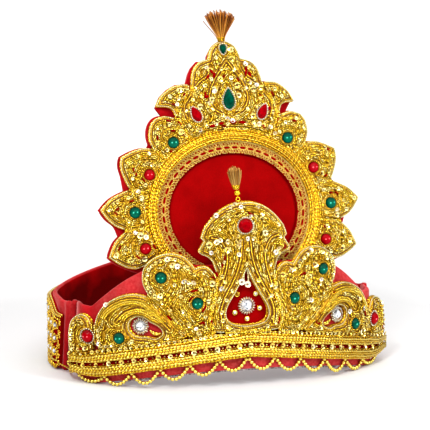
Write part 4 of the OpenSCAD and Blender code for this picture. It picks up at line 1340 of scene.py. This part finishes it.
make_piece("velvet_field", field_disc(), [VELVET_FIELD])
make_piece("ring_cords", corded_ring(), WORK)
make_piece("lace_braid", braided_lace(), [LACE, VELVET_FIELD])

# %% [markdown]
# ## The border and the bead swags
# Stiff gold ropes run along the foot of the front. Between the lower four and the upper four a line
# of dark velvet shows, with sequins and beads in turn. Strings of beads hang below in swags. Every
# rope is the same line at another share of the border's width, so they never cross.


# %% Border
BORDER_ENDS = (-51.0, 52.8)


def front_x(a):
    """x on the front at an angle in degrees."""
    return FRONT_R * np.sin(np.radians(a))


def border_foot(a):
    """Height of the border's foot at an angle in degrees: low at the sides, high in the middle."""
    return 20.5 - 15 * (np.minimum(np.abs(a), 42) / 42) ** 1.3 + 0.35 * np.maximum(0, np.abs(a) - 47)


def border_width(a):
    """Height of the border itself, which narrows towards its ends."""
    return 15.5 - 0.56 * np.maximum(0, np.abs(a) - 42)


def border_line(share, steps=400):
    """x, z along the border at a share of its width from the foot."""
    a = np.linspace(*BORDER_ENDS, steps)
    wobble = 0.12 * np.sin(a * 0.9 + 9 * share) + 0.08 * np.sin(a * 2.3 + 20 * share)
    return np.stack([front_x(a), border_foot(a) + share * border_width(a) + wobble], -1)


# Each rope's share of the border's width from its foot, and its shade
BORDER_ROPES = [(0.05, 0.3), (0.145, 0.7), (0.24, 0.45), (0.335, 0.8), (0.655, 0.75), (0.75, 0.4),
                (0.845, 0.8), (0.94, 0.35)]


def border_work():
    """Ropes along the border, the line of velvet with its sequins and beads, one more rope with
    sequins above, and short coils across the ends."""
    heap, top = Heap(), BORDER_PLATE.over(0.75)
    for share, shade in BORDER_ROPES:
        lay_cord(heap, FRONT, border_line(share), False, top, 1.72, ROPE_KIND, 0.9, 2, 3.1, shade, 8)
    for share in (0.405, 0.59):
        lay_cord(heap, FRONT, border_line(share), False, 3.5, 0.8, WIRE_KIND, shade=0.4)
    lay_cord(heap, FRONT, border_line(0.497), False, 2.8, 2.6, VELVET_KIND, squash=0.25, lobes=0)
    for w in (0.6, 1.7):
        lay_cord(heap, FRONT, border_line(0.0), False, w, 1.2, CORD_KIND, shade=0.4)
    x, z = even_line(border_line(0.497), 3.5, False).T
    sew_sequins(heap, FRONT, x[::2], z[::2], 4.8, 10, 1.65)
    add_copies(heap, BEAD, basis_at(FRONT, x[1::2], z[1::2], 3.7), 0.6, CORD_KIND)
    lay_cord(heap, FRONT, border_line(1.03), False, 3.5, 1.5, ROPE_KIND, 0.9, 2, 3.1, 0.2, 7)
    x, z = even_line(border_line(1.04), 3.1, False).T
    sew_sequins(heap, FRONT, x, z, 4.9, 24, 1.15)
    share = np.linspace(0.0, 1.0, 14)
    for end, turn in zip(BORDER_ENDS, (-0.25, 0.25)):
        for step in (0.0, 0.45):
            a = np.full(14, end + turn + np.sign(end) * step)
            line = np.stack([front_x(a), border_foot(a) + share * border_width(a)], -1)
            lay_cord(heap, FRONT, line, False, 3.0 - 2.4 * step, 1.5, WIRE_KIND, shade=0.6)
    return heap


# %% Swags
SWAGS, SWAG_PITCH, SWAG_DROP, SWAG_STEP = 12, 8.2, 6.2, 2.4
SWAG_ROOM = 2.1


def bead_swags():
    """Strings of beads, each a parabola below the border's foot that keeps clear of the ground. The
    beads' colour holds painted light: bright in front and a darker gold, painted shade, at their edges."""
    heap = Heap()
    fine = np.linspace(-1, 1, 60)
    # Painted light on each bead's points: 1 in front, falling to 0 towards its edges
    bright = np.clip(1.6 * BEAD[0][None, :, 2], 0, 1)
    for k in range(SWAGS):
        middle = (k - (SWAGS - 1) / 2) * SWAG_PITCH

        def hang(u):
            """Angle and height along the swag: the foot, less the drop times 1 - u squared."""
            a = middle + u * SWAG_PITCH * 0.44
            low = 0.6 * border_foot(np.full_like(u, middle)) + 0.4 * border_foot(a) - SWAG_ROOM / 2 - 0.6
            room = np.minimum(SWAG_DROP, border_foot(middle) - SWAG_ROOM - 1.0)
            return a, low - room * (1 - u**2)

        a, z = hang(fine)
        s = np.concatenate([[0], np.cumsum(np.hypot(np.diff(np.radians(a)) * WALL_R, np.diff(z)))])
        beads = int(round(s[-1] / SWAG_STEP)) + 1
        a, z = hang(np.interp(np.linspace(0, s[-1], beads), s, fine))
        add_copies(heap, BEAD, basis_at(FRONT, front_x(a), z, 1.2), 1.3, len(WORK), bright)
        a, z = hang(fine[::4])
        x = front_x(a)
        add_tubes(heap, on_front(x, z, 1.05), front_out(x), 0.3, 4, WIRE_KIND)
    return heap


make_piece("border_work", border_work(), WORK)
make_piece("swag_beads", bead_swags(), WORK + [SHADED_SWAG_GOLD], ["bead_swags"])

# %% [markdown]
# ## Velvet walls
# The head ring and the front wall are velvet over a padded core, with rolled edges. The core gives
# them their shape, so each is one section carried along its path, and only the small folds, the nap,
# a painted sheen on the hills and the top, and a painted shade inside the ring are left to the finish.
# A simulated cloth would sag, and the real one doesn't.


# %% Walls
SEAM_Y, SEAM_SLANT, RING_H = 62.0, 13.0, 47.4
WALL_T = 3.0


def smooth_step(t):
    """3t^2 - 2t^3 between 0 and 1, and level beyond."""
    c = np.clip(t, 0, 1)
    return c * c * (3 - 2 * c)


# %% Head ring
def ring_path():
    """The head ring's middle line from the right seam round the back to the left seam: straight
    sides, then a drawn-in half ellipse, all pushed a little to the left behind the corners."""
    k = np.arange(0, 9, 0.5) / 9
    q = np.radians(np.arange(6, 90.1, 2))
    x = np.concatenate([97.7 + 0.3 * k, 98 * np.cos(q) ** 1.32])
    y = np.concatenate([SEAM_Y + 33 * k**1.6, 95 + 82.5 * np.sin(q) ** 1.32])
    x, y = np.concatenate([x, -x[-2::-1]]), np.concatenate([y, y[-2::-1]])
    return np.stack([x - 5.5 * (0.3 + 0.7 * smooth_step((y - SEAM_Y) / 12)), y], -1)


RING_PATH = even_line(ring_path(), 2.0, False)


def ring_place(path, out, z):
    """A point out from the ring's middle line at height z. Near the seams it slants back."""
    along = unit(np.gradient(path, axis=0))
    across = np.stack([along[:, 1], -along[:, 0]], -1)
    q = path + np.asarray(out)[..., None] * across
    f = np.maximum(0, 1 - (path[:, 1] - SEAM_Y) / 35)
    z = np.broadcast_to(z, f.shape)
    return np.stack([q[:, 0], q[:, 1] + f * SEAM_SLANT * (1 - z / RING_H), z], -1) + SHIFT


def seam_roll(path):
    """How far the rolled seam stands out: a bell curve just behind the seam."""
    return 1.8 * np.exp(-(((path[:, 1] - SEAM_Y - 2.2) / 2.6) ** 2))


def headband():
    """The ring's section: inner wall, round top, outer wall, round foot."""
    path, t = RING_PATH, WALL_T / 2
    s = seam_roll(path)
    h = RING_H + 0.6 * s + 7 * np.maximum(0, (path[:, 1] - 95) / 84) ** 2
    ripple = 0.25 * np.sin(path[:, 0] * 0.13 + path[:, 1] * 0.11)
    section = [ring_place(path, -t, 0.8)]
    section += [ring_place(path, -t + ripple * np.sin(v * np.pi), 0.8 + v * (h - 2.6))
                for v in (0.2, 0.5, 0.8)]
    for turn in np.linspace(np.pi, 0, 9):
        r = t + s / 2
        section.append(ring_place(path, s / 2 + r * np.cos(turn), h - r + r * np.sin(turn)))
    section += [ring_place(path, t + s, 2 + v * (h - 5)) for v in (0.75, 0.5, 0.25)]
    section += [ring_place(path, t + s, 1.2), ring_place(path, t + s - 0.5, 0.3),
                ring_place(path, 0.5, 0.0), ring_place(path, -t + 0.5, 0.1)]
    heap, inner = Heap(), 5
    order = np.arange(len(section))
    # Painted shade down the inner wall, deepest at its foot, and a paler nap with painted sheen over the
    # top roll
    along = np.interp(order, [0, 1, 2, 3, 4, 5], [0.5, 0.42, 0.3, 0.18, 0.05, -0.1])
    brushed_and_sheen = np.interp(order, [4, 8, 12, 14], [0.1, 0.3, 0.15, 0.05])
    loft(heap, np.stack(section, 1), (order < inner).astype(int), along, brushed_and_sheen)
    return heap


# %% Front wall
def front_wall_section(r0, r1, foot, top, at):
    """Points round the wall's section between two radii, with a round top and a softened foot."""
    mid, half = (r0 + r1) / 2, (r1 - r0) / 2
    rows = [(r0, foot + 0.6)] + [(r0, foot + v * (top - foot)) for v in (0.3, 0.7)]
    rows += [(mid - half * np.cos(u), top - half + half * np.sin(u)) for u in np.linspace(0, np.pi, 9)]
    rows += [(r1, foot + v * (top - foot)) for v in (0.84, 0.7, 0.3)]
    rows += [(r1, foot + 0.6), (r1 - 0.6, foot), (r0 + 0.6, foot)]
    return np.stack([at(r, z) for r, z in rows], 1)


def front_wall():
    """The arc of the front, its two corners and the slanting ends at the seams."""
    corner, corner_r = 45.5, 14.0
    out = WALL_R - 0.2
    arc = np.linspace(-corner, corner, 150)
    bend = np.linspace(corner, 90, 14)[1:]
    a = np.concatenate([-bend[::-1], arc, bend])
    centre = WALL_R - corner_r
    t, c = np.radians(a), np.radians(corner)

    def at(r, z):
        """On the arc a circle about the middle, on a corner a small circle about its own middle."""
        y_lean = FRONT_LEAN * (z - LEAN_Z)
        on_arc = np.stack([r * np.sin(t), FRONT_R - r * np.cos(t) + y_lean], -1)
        s = np.sign(a)
        small = corner_r + r - WALL_R
        on_bend = np.stack([s * centre * np.sin(c) + small * np.sin(t),
                            FRONT_R - centre * np.cos(c) - small * np.cos(t) + y_lean], -1)
        xy = np.where((np.abs(a) <= corner)[:, None], on_arc, on_bend)
        return np.concatenate([xy, np.broadcast_to(z, len(a))[:, None]], 1)

    foot = np.maximum(0, 12 - 11 * (np.sin(t) * FRONT_R / 89) ** 2)
    top = 48.5 + 29.5 * np.sin(np.pi / 2 * np.clip((44 - np.abs(a + 0.7)) / 25, 0, 1))
    rings = front_wall_section(out - WALL_T, out, foot, top, at)
    ends = []
    for ring in (rings[0], rings[-1]):
        end = ring.copy()
        end[:, 1] = SEAM_Y - 0.2 + SEAM_SLANT * (1 - end[:, 2] / RING_H)
        ends.append(end)
    rings = np.concatenate([ends[0][None], rings, ends[1][None]]) + SHIFT
    heap = Heap()
    # How pale each line of the section is, partly a paler nap and partly a painted sheen on the hills,
    # the top and the foot, and a plain patch behind the plume's window
    brushed_and_sheen = np.array([0.0, 0.1, 0.2] + [0.40] * 9 + [0.35, 0.05, 0.45, 0.6, 0.5, 0.2])
    a = np.concatenate([a[:1], a, a[-1:]])
    hill = np.clip((np.abs(a) - 16) / 8, 0, 1) * (1 - 0.8 * np.clip((-40 - a) / 4, 0, 1))
    outer = np.arange(rings.shape[1])
    plain = (np.abs(a[1:]) < 15)[:, None] & (outer > 8) & (outer < 14)
    loft(heap, rings, plain.astype(int), shade=brushed_and_sheen * np.where(outer > 13, 1.0, hill[:, None]))
    return heap


# %% Rolled edges
def halo_edge():
    """The velvet rolled round the edge of the halo's backing."""
    heap = Heap()
    plate = Plate("halo_back", HALO)
    line = max((found for found, closed in plate.lines(plate.edge, 1.75) if closed), key=len)
    lay_cord(heap, HALO, line, True, -2.2, 4.2, 0, step=1.2, lobes=0, sides=12, shade=0.05)
    return heap


def seam_pipings():
    """A velvet piping down each front corner, over the seam between the wall and the ring."""
    heap = Heap()
    for x in (-97.3, 96.4):
        z = np.linspace(1.4, 48.6, 24)
        pucker = 1 + 0.06 * np.sin(z * 1.9)
        y = SEAM_Y + 0.6 + SEAM_SLANT * (1 - z / RING_H)
        line = np.stack([np.full_like(z, x), y, z], -1) + SHIFT
        ends = np.clip(np.minimum(z - 0.8, 49.6 - z) / 1.4, 0.3, 1) ** 0.5
        add_tubes(heap, line, (1.0, 0.0, 0.0), 2.1 * pucker * ends, 12, 0, 0.1)
    return heap


padded = [make_piece("headband_velvet", headband(), [VELVET, SHADED_VELVET_INSIDE], ["headband"]),
          make_piece("front_wall_velvet", front_wall(), [VELVET, VELVET_FIELD], ["front_wall"]),
          make_piece("halo_back_roll", halo_edge(), [VELVET]),
          make_piece("seam_piping", seam_pipings(), [VELVET])]

# %% [markdown]
# ## Beaded braid on the ring's sides
# The braid is a net of bead columns and small flowers over the velvet, with a double cord on top and
# bead loops below. It is laid out flat, and a face of its own bends it round the side of the ring.


# %% Side braids
TRIM_OUT = WALL_T / 2 + 0.2 + 2.4


def trim_face(side):
    """A face for the ring's side: x is the distance back from the braid's front end."""
    near = (RING_PATH[:, 0] * side > 0) & (RING_PATH[:, 1] > 67.7) & (RING_PATH[:, 1] < 133.3)
    path = RING_PATH[near]
    if side < 0:
        path = path[::-1]
    s = length_so_far(path)
    along = unit(np.gradient(path, axis=0))
    across = side * np.stack([along[:, 1], -along[:, 0]], -1)

    def lift(x, z, w):
        """A point at the distance x along the side, w out from it, slanting back near the seam."""
        x, z, w = np.broadcast_arrays(x, z, w)
        q = np.stack([np.interp(x, s, path[:, k]) for k in (0, 1)], -1)
        n = out(x)[..., :2]
        slant = np.maximum(0, 1 - (q[..., 1] - SEAM_Y) / 35) * SEAM_SLANT * (1 - z / RING_H)
        q = q + (TRIM_OUT + w)[..., None] * n
        return np.stack([q[..., 0], q[..., 1] + slant, z], -1) + SHIFT

    def out(x):
        """The level direction straight out of the side."""
        level = [np.interp(x, s, across[:, k]) for k in (0, 1)]
        return np.stack([*level, np.zeros_like(x)], -1)

    return {"lift": lift, "out": out, "length": s[-1], "y": lambda x: np.interp(x, s, path[:, 1])}


# %% The braid
def side_braid(side):
    """Cords along the top and foot, bead columns, flowers of eight beads round a crystal, and loops."""
    heap, face = Heap(), trim_face(side)
    length = face["length"]
    x = np.linspace(0, length, 60)
    top = 38.4 + 7.4 * smooth_step((face["y"](x) - 68) / 30)
    for height, w, d, shade in ((top - 0.6, -0.9, 1.7, 0.8), (top - 1.2, 0.5, 1.6, 0.5),
                                (np.full(60, 6.4), 0.4, 1.5, 0.6), (np.full(60, 3.4), 0.1, 1.3, 0.4)):
        lay_cord(heap, face, np.stack([x, height], -1), False, w, d, ROPE_KIND, shade=shade)
    beads = []
    for column in np.arange(2.0, length - 1, 9.0):
        high = np.interp(column, x, top)
        z = np.arange(8.0, high - 3.0, 1.75)
        beads.append(np.stack([column + 0.7 * np.sin(z * 0.9), z], -1))
        beads.append(np.stack([column - 1.9 + 0.6 * np.cos(z * 0.8), z + 0.9], -1))
    x_beads = np.arange(1, length - 1, 2.0)
    beads.append(np.stack([x_beads, np.interp(x_beads, x, top) - 3.4], -1))
    turn = np.arange(8) * np.pi / 4
    flowers = [(c, z) for c in np.arange(5.6, length - 4, 9.0) for z in (12.5, 21.5, 30.5, 38.5)
               if z < np.interp(c, x, top) - 6]
    for c, z in flowers:
        beads.append(np.stack([c + 2.6 * np.cos(turn), z + 2.6 * np.sin(turn)], -1))
    drop = np.linspace(-1, 1, 8)
    for middle in np.arange(4.0, length - 3, 8.0):
        beads.append(np.stack([middle + 3.2 * drop, 1.7 + 4.0 * drop**2], -1))
    p = np.concatenate(beads)
    add_copies(heap, BEAD, basis_at(face, *p.T, 0.6), 0.85, BEAD_KIND)
    crystal = dome([(1.3, -0.3), (1.5, 0.6), (1.0, 1.2), (0.1, 1.5)], 10)
    base = basis_at(face, *np.array(flowers).T, 0.3)
    add_copies(heap, crystal, base, 1.0, len(WORK), smooth=False)
    return heap


OLD_WORK = WORK[:BEAD_KIND] + [OLD_BEAD_GOLD] + WORK[BEAD_KIND + 1:]
for word, side in (("left", -1), ("right", 1)):
    make_piece("side_braid_" + word, side_braid(side), OLD_WORK + [CRYSTAL])

# %% [markdown]
# ## Small gold pieces on velvet
# A loop of coiled wire with two large sequins hangs over the window's point, and small leaves of wire
# lie in each paisley's eye. A thin cord runs round each front corner and covers the border's end.
# Each is a soft line through a few points, because one loop isn't worth a formula of its own.


# %% Window loop and leaves
def loop_and_leaves():
    """The window's loop and two sequins, and two leaves on each side: coils whose radius swells by the
    sine of pi t^1.3, the second one bowed down."""
    heap = Heap()
    loop = soft_line([(-1.5, 66.6), (-1.6, 70), (-1.2, 73.6), (0, 75.6), (1.2, 73.6), (1.5, 70),
                      (1.3, 66.6)])
    lay_cord(heap, FRONT, loop, False, 2.3, 1.6, CORD_KIND, shade=0.9)
    base = basis_at(FRONT, np.array([-3.6, 0.4]), np.array([68.2, 66.2]), np.array([5.6, 4.0]))
    # The two sequins are in the near-white finish: painted glints
    add_copies(heap, SEQUIN, base, 2.1, len(WORK), tilt=8.0, smooth=False)
    add_copies(heap, SEED, base, 0.6, KNOT_AND_SHADE_KIND)
    for side in (-1, 1):
        x, z = soft_line([(53.6, 35.6), (56, 35.3), (58.6, 35.9), (60.8, 37.2)]).T
        t = np.linspace(0, 1, len(x))
        radius = 0.35 + 0.65 * np.sin(np.pi * t**1.3)
        for bow in (0.0, 0.9):
            points = on_front(side * x, z - bow * np.sin(np.pi * t), 1.0)
            add_tubes(heap, points, front_out(side * x), radius, 7, ROPE_KIND, 0.7)
    return heap


make_piece("loop_and_leaves", loop_and_leaves(), WORK + [PAINTED_GLINT_SEQUIN])


# %% Cord round the corners
def foot_cord():
    """A thin gold cord from the braid's foot round the front corner to the border's end."""
    heap = Heap()
    for side in (-1, 1):
        start = trim_face(side)["lift"](1.0, 5.0, 0.6) - SHIFT
        end = on_front(side * 102.0, 6.6, 2.6) - SHIFT
        middle = [(side * 101.4, 66.0, 3.6), (side * 101.8, 57.0, 3.2)]
        line = soft_line(np.array([start, *middle, end]), 8) + SHIFT
        add_tubes(heap, line, (side * 1.0, 0.0, 0.0), 0.6, 6, ROPE_KIND, 0.5)
    return heap


make_piece("foot_cord", foot_cord(), WORK)

# %% [markdown]
# ## Stones and their settings
# A cabochon is a low dome of glass on foil. The crest's drops, the crystals and the red stone on the
# plume are cut, and keep the frame's facets. A ring of small beads holds each stone, silver on the
# crest, the plume and the end lobes and old gold elsewhere, and claws hold the crystals. Clear glass
# would show nothing but the dark under it, so the domes' colour holds painted light: highlights of the
# light off the foil, and shade at the edge and above.


# %% Stones
CABOCHONS = [n for n in STONES if "crystal" not in n and "drop" not in n and n != "plume_stone"]
SEAT_W = 4.95


def seat_basis(name, w):
    """Point, rightward, upward and outward directions at the middle of a stone, w above the velvet."""
    return basis_at(face_of(name), *SEATS[name][:2], w)


def cabochon(name):
    """A dome whose rise is 0.36 of its width. Along carries painted light: painted shade at the edge and
    above, and two small painted highlights, the light off the foil behind the glass: bell curves about
    their middles. The painted shade of the edge is the eighth power of the distance from the middle."""
    heap = Heap()
    r = SEATS[name][3]
    rise = 0.72 * r
    ball_r = (r * r + rise * rise) / (2 * rise)
    t = np.linspace(0, 1, 12)[1:]
    rho = r * (1 - t**1.3) + 0.03
    profile = [(r * 0.96, 0.0), (r, 0.5)] + [(p, 0.7 + rise - ball_r + np.sqrt(ball_r**2 - p * p))
                                            for p in np.minimum(rho, r)]
    points, faces = dome(profile, 32)
    where, right, up, out = seat_basis(name, SEAT_W)
    world = where + points[:, :1] * right + points[:, 1:2] * up + points[:, 2:] * out
    u, v = points[:, 0] / r, points[:, 1] / r
    light = 0.46 - 0.22 * (u * u + v * v) ** 4 - 0.16 * v
    for du, dv, bright in ((-0.34, -0.06, 0.55), (0.36, 0.0, 0.5)):
        light += bright * np.exp(-((u - du) ** 2 + (v - dv) ** 2) / 0.018)
    # The painted light and shade go in as the attribute along
    heap.add(world[None], faces, 0, light[None], 0.5)
    return heap


# %% Settings
def bead_rim(heap, name, base):
    """Small beads round the stone's outline, over a thin dark wire: silver ones round the stones of
    the crest, the plume and the ends, old gold ones elsewhere."""
    face, line = face_of(name), OUTLINES[name]
    ahead = np.roll(line, -1, 0) - np.roll(line, 1, 0)
    outwards = unit(np.stack([ahead[:, 1], -ahead[:, 0]], -1))
    outwards *= np.sign((outwards * (line - line.mean(0))).sum())
    x, z = even_line(line + 0.5 * outwards, 1.35, True).T
    add_copies(heap, SEED, basis_at(face, x, z, base + 0.8), 0.5,
               0 if name.startswith(("crest", "plume", "end")) else 2)
    lay_cord(heap, face, line + 0.6 * outwards, True, base + 0.1, 0.8, 1, step=0.8, lobes=0)


def claw_rim(heap, name, base, claws=20):
    """Silver claws that reach from the foot of a crystal's cup to its edge, with a ring round their
    feet, and on the paisleys a silver bead outside every second one."""
    r = SEATS[name][3]
    angle = np.arange(claws) * 2 * np.pi / claws
    where, right, up, out = seat_basis(name, base)
    spoke = np.cos(angle)[:, None] * right + np.sin(angle)[:, None] * up
    t = np.linspace(0, 1, 5)
    radius = r * (1.40 - 0.38 * t)
    height = 0.6 + 1.5 * np.sin(np.pi * (0.10 + 0.5 * t))
    lines = where + radius[None, :, None] * spoke[:, None] + height[None, :, None] * out
    add_tubes(heap, lines, out, 0.38)
    if name.startswith("paisley"):
        add_copies(heap, SEED, (where + 1.36 * r * spoke[::2] + 1.1 * out, right, up, out), 0.72)
    add_tubes(heap, where + 1.18 * r * spoke + 0.3 * out, out, 0.5, 6, 1, closed=True)


def settings(names):
    """What holds the named stones: claws round a crystal, beads round any other."""
    heap = Heap()
    for name in names:
        if "crystal" in name:
            claw_rim(heap, name, 0.2)
        else:
            bead_rim(heap, name, SEAT_W)
    return heap


for name in CABOCHONS:
    glass = GREEN_GLASS if SLOT_OF[name] == "green_stone" else RED_GLASS
    make_piece(name + "_dome", cabochon(name), [glass], [name])
for word, face in (("halo", HALO), ("front", FRONT)):
    here = [n for n in STONES if face_of(n) is face]
    make_piece(word + "_setting_beads", settings(here), [SILVER, PADDING, OLD_BEAD_GOLD],
               [word + "_settings"])


# %% The window's crystals
def window_crystals():
    """Small crystals in gold rims around the window's big one. The first is a plain old-gold stud."""
    heap = Heap()
    places = np.array([(-5.8, 59.4), (6.6, 59.2), (9, 50), (0.4, 43.8), (-7.6, 48)])
    base = basis_at(FRONT, *places.T, 0.2)
    cup = washer([(1.15, 0.1), (1.15, 1.0), (1.35, 1.2), (1.7, 0.9), (1.75, 0.0), (1.4, 0.0)], 16)
    stone = dome([(1.1, 0.0), (1.2, 0.9), (0.9, 1.4), (0.5, 1.65), (0.06, 1.7)], 12)
    add_copies(heap, cup, base, 1.0, 1)
    add_copies(heap, stone, [v[1:] for v in base], 1.0, 0, smooth=False)
    add_copies(heap, stone, [v[:1] for v in base], 1.0, 2)
    return heap


make_piece("window_crystals", window_crystals(), [CRYSTAL, BEAD_GOLD, PADDING], ["window_dots"])

# %% [markdown]
# ## Tassels
# A bundle of metallic threads is tied at its foot with wire and fans out upwards. Each thread is a
# thin tube, which keeps its form in any program, and a few strays make the bundle look worn.


# %% Tassels
def tassel(foot, lean, rows, count, thread_d, stray, tufts):
    """Threads through rows of (height, half width, half depth): each keeps its own share of them,
    drawn at its tip towards the nearest of a few tufts."""
    heap = Heap()
    rows = np.array(rows, float)
    angle = rng.uniform(0, 2 * np.pi, count)
    share = np.sqrt(rng.random(count)) * np.where(rng.random(count) < stray, 1.35, 1.0)
    spread = share * np.cos(angle)
    tuft = np.round(spread * tufts) / tufts - spread
    length = rng.uniform(0.88, 1.0, count) * (1 - 0.2 * (share * np.cos(angle)) ** 2)
    t = np.linspace(0, 1, 9)[None] * length[:, None]
    h = t * rows[-1, 0]
    wide, deep = (np.interp(h, rows[:, 0], rows[:, k]) for k in (1, 2))
    bow = 0.35 * np.sin(np.pi * t) * rng.normal(0, 1, (count, 1))
    x = (spread[:, None] + 0.7 * tuft[:, None] * t) * wide + lean * h + bow
    y = share[:, None] * np.sin(angle)[:, None] * deep
    add_tubes(heap, foot + np.stack([x, y, h], -1), (0.0, -1.0, 0.1), thread_d / 2, 3)
    turns = np.linspace(0, 5 * 2 * np.pi, 90)
    h = np.linspace(0.2, 2.8, 90)
    wide, deep = (np.interp(h, rows[:, 0], rows[:, k]) for k in (1, 2))
    binding = foot + np.stack([wide * np.cos(turns) * 1.12 + lean * h, deep * np.sin(turns) * 1.12, h], -1)
    add_tubes(heap, binding, (0.0, 0.0, 1.0), 0.32, 5, 1)
    return heap


CREST_ROWS = [(0, 1.7, 1.5), (2.4, 2.2, 2.0), (4.5, 3.2, 2.2), (11, 7.4, 3.8), (20.0, 12.8, 5.4)]
PLUME_ROWS = [(0, 1.4, 1.4), (1, 1.8, 1.7), (7, 3.5, 2.6), (14.6, 5.6, 3.4)]
CREST_FOOT, PLUME_FOOT = on_halo(-1.6, 211.4, 2.2), on_front(-4.9, 125.2, 2.2)
make_piece("crest_tassel_threads", tassel(CREST_FOOT, -0.09, CREST_ROWS, 150, 0.6, 0.08, 5.0),
           [COPPER, WIRE], ["crest_tassel"])
make_piece("plume_tassel_threads", tassel(PLUME_FOOT, -0.1, PLUME_ROWS, 80, 0.5, 0.0, 3.5),
           [STRAW, WIRE], ["plume_tassel"])

# %% [markdown]
# ## Floor and light
# A white sweep and broad soft lamps, as in a product studio. The lamps above are strongest, so that
# the floor is white while the front keeps its shadows. Near the crown the sweep is painted grey, a
# painted soft shadow round the crown's foot.


# %% Studio
def add_floor():
    """A white sheet that lies flat and curves up far behind, painted grey near the crown as a soft shadow.
    """
    half, depth, bend = 3.5, 2.6, 0.8
    t = np.linspace(0, np.pi / 2, 12)
    ys = np.concatenate([[-3.5], depth + bend * np.sin(t), [depth + bend]])
    zs = np.concatenate([[0.0], bend - bend * np.cos(t), [2.8]])
    left = np.stack([np.full_like(ys, -half), ys, zs], -1)
    verts = np.concatenate([left, left * [-1, 1, 1]])
    n = len(ys)
    mesh = bpy.data.meshes.new("sweep")
    mesh.from_pydata(verts.tolist(), [], [(i, n + i, n + i + 1, i + 1) for i in range(n - 1)])
    mesh.polygons.foreach_set("use_smooth", [True] * len(mesh.polygons))
    material, tree, shader = new_material("white_sweep")
    set_sockets(shader, Roughness=0.9)
    far = node(tree, "ShaderNodeVectorMath", i0=object_place(tree))
    far.operation = "LENGTH"
    uneven = maths(tree, "MULTIPLY", object_noise(tree, 40.0), 0.02)
    # Painted shadow: grey near the crown, white further away
    shadow_greys = [(place, (grey, grey, grey)) for place, grey in ((0.10, 0.66), (0.22, 0.58), (0.65, 0.93))]
    paint(tree, shader, ramp(tree, maths(tree, "ADD", far.outputs["Value"], uneven), shadow_greys))
    mesh.materials.append(material)
    floor = new_object("sweep", mesh)


# %% Lamps and sky
CROWN_MIDDLE = (0.0, -0.05, 0.11)
GLINT_DISTANCE = 1.7


def add_lamp(name, place, size, watts):
    """A square soft lamp at a place in metres, aimed at the crown."""
    data = bpy.data.lights.new(name, "AREA")
    data.size, data.energy = size, watts
    turn = (Vector(CROWN_MIDDLE) - Vector(place)).to_track_quat("-Z", "Y").to_matrix().to_4x4()
    new_object(name, data).matrix_world = Matrix.Translation(Vector(place)) @ turn


def add_sky(low, high):
    """Light from all round: dim near the horizon, bright from above."""
    world = bpy.data.worlds.new("studio")
    bpy.context.scene.world = world
    world.use_nodes = True
    tree = world.node_tree
    way = tree.nodes.new("ShaderNodeTexCoord").outputs["Generated"]
    height = node(tree, "ShaderNodeSeparateXYZ", Vector=way).outputs["Z"]
    colour = ramp(tree, height, [(0.35, (low, low, low)), (0.8, (high, high, high))])
    tree.links.new(colour, tree.nodes["Background"].inputs["Color"])


add_floor()
add_lamp("key_lamp", (-0.75, -1.2, 1.25), 0.42, 15.0)
add_lamp("fill_lamp", (1.0, -1.3, 0.9), 0.36, 7.0)
# Small bright panels round the camera, by azimuth and elevation, each with its own glints
GLINTS = ((28, 38), (-6, 34), (40, 24), (14, 54), (44, 6), (-42, 20), (-12, 64), (62, 22))
for k, (azimuth, elevation) in enumerate(GLINTS):
    place = CROWN_MIDDLE - GLINT_DISTANCE * look_along(-azimuth, elevation)[0]
    add_lamp(f"glint_lamp_{k}", tuple(place), 0.16, 1.3)
add_sky(0.14, 1.4)
bpy.context.scene.view_settings.view_transform = "Standard"
bpy.context.scene.view_settings.look = "Medium High Contrast"

# %% Triangle count
print("triangles:", sum(TRIANGLES.values()), TRIANGLES)
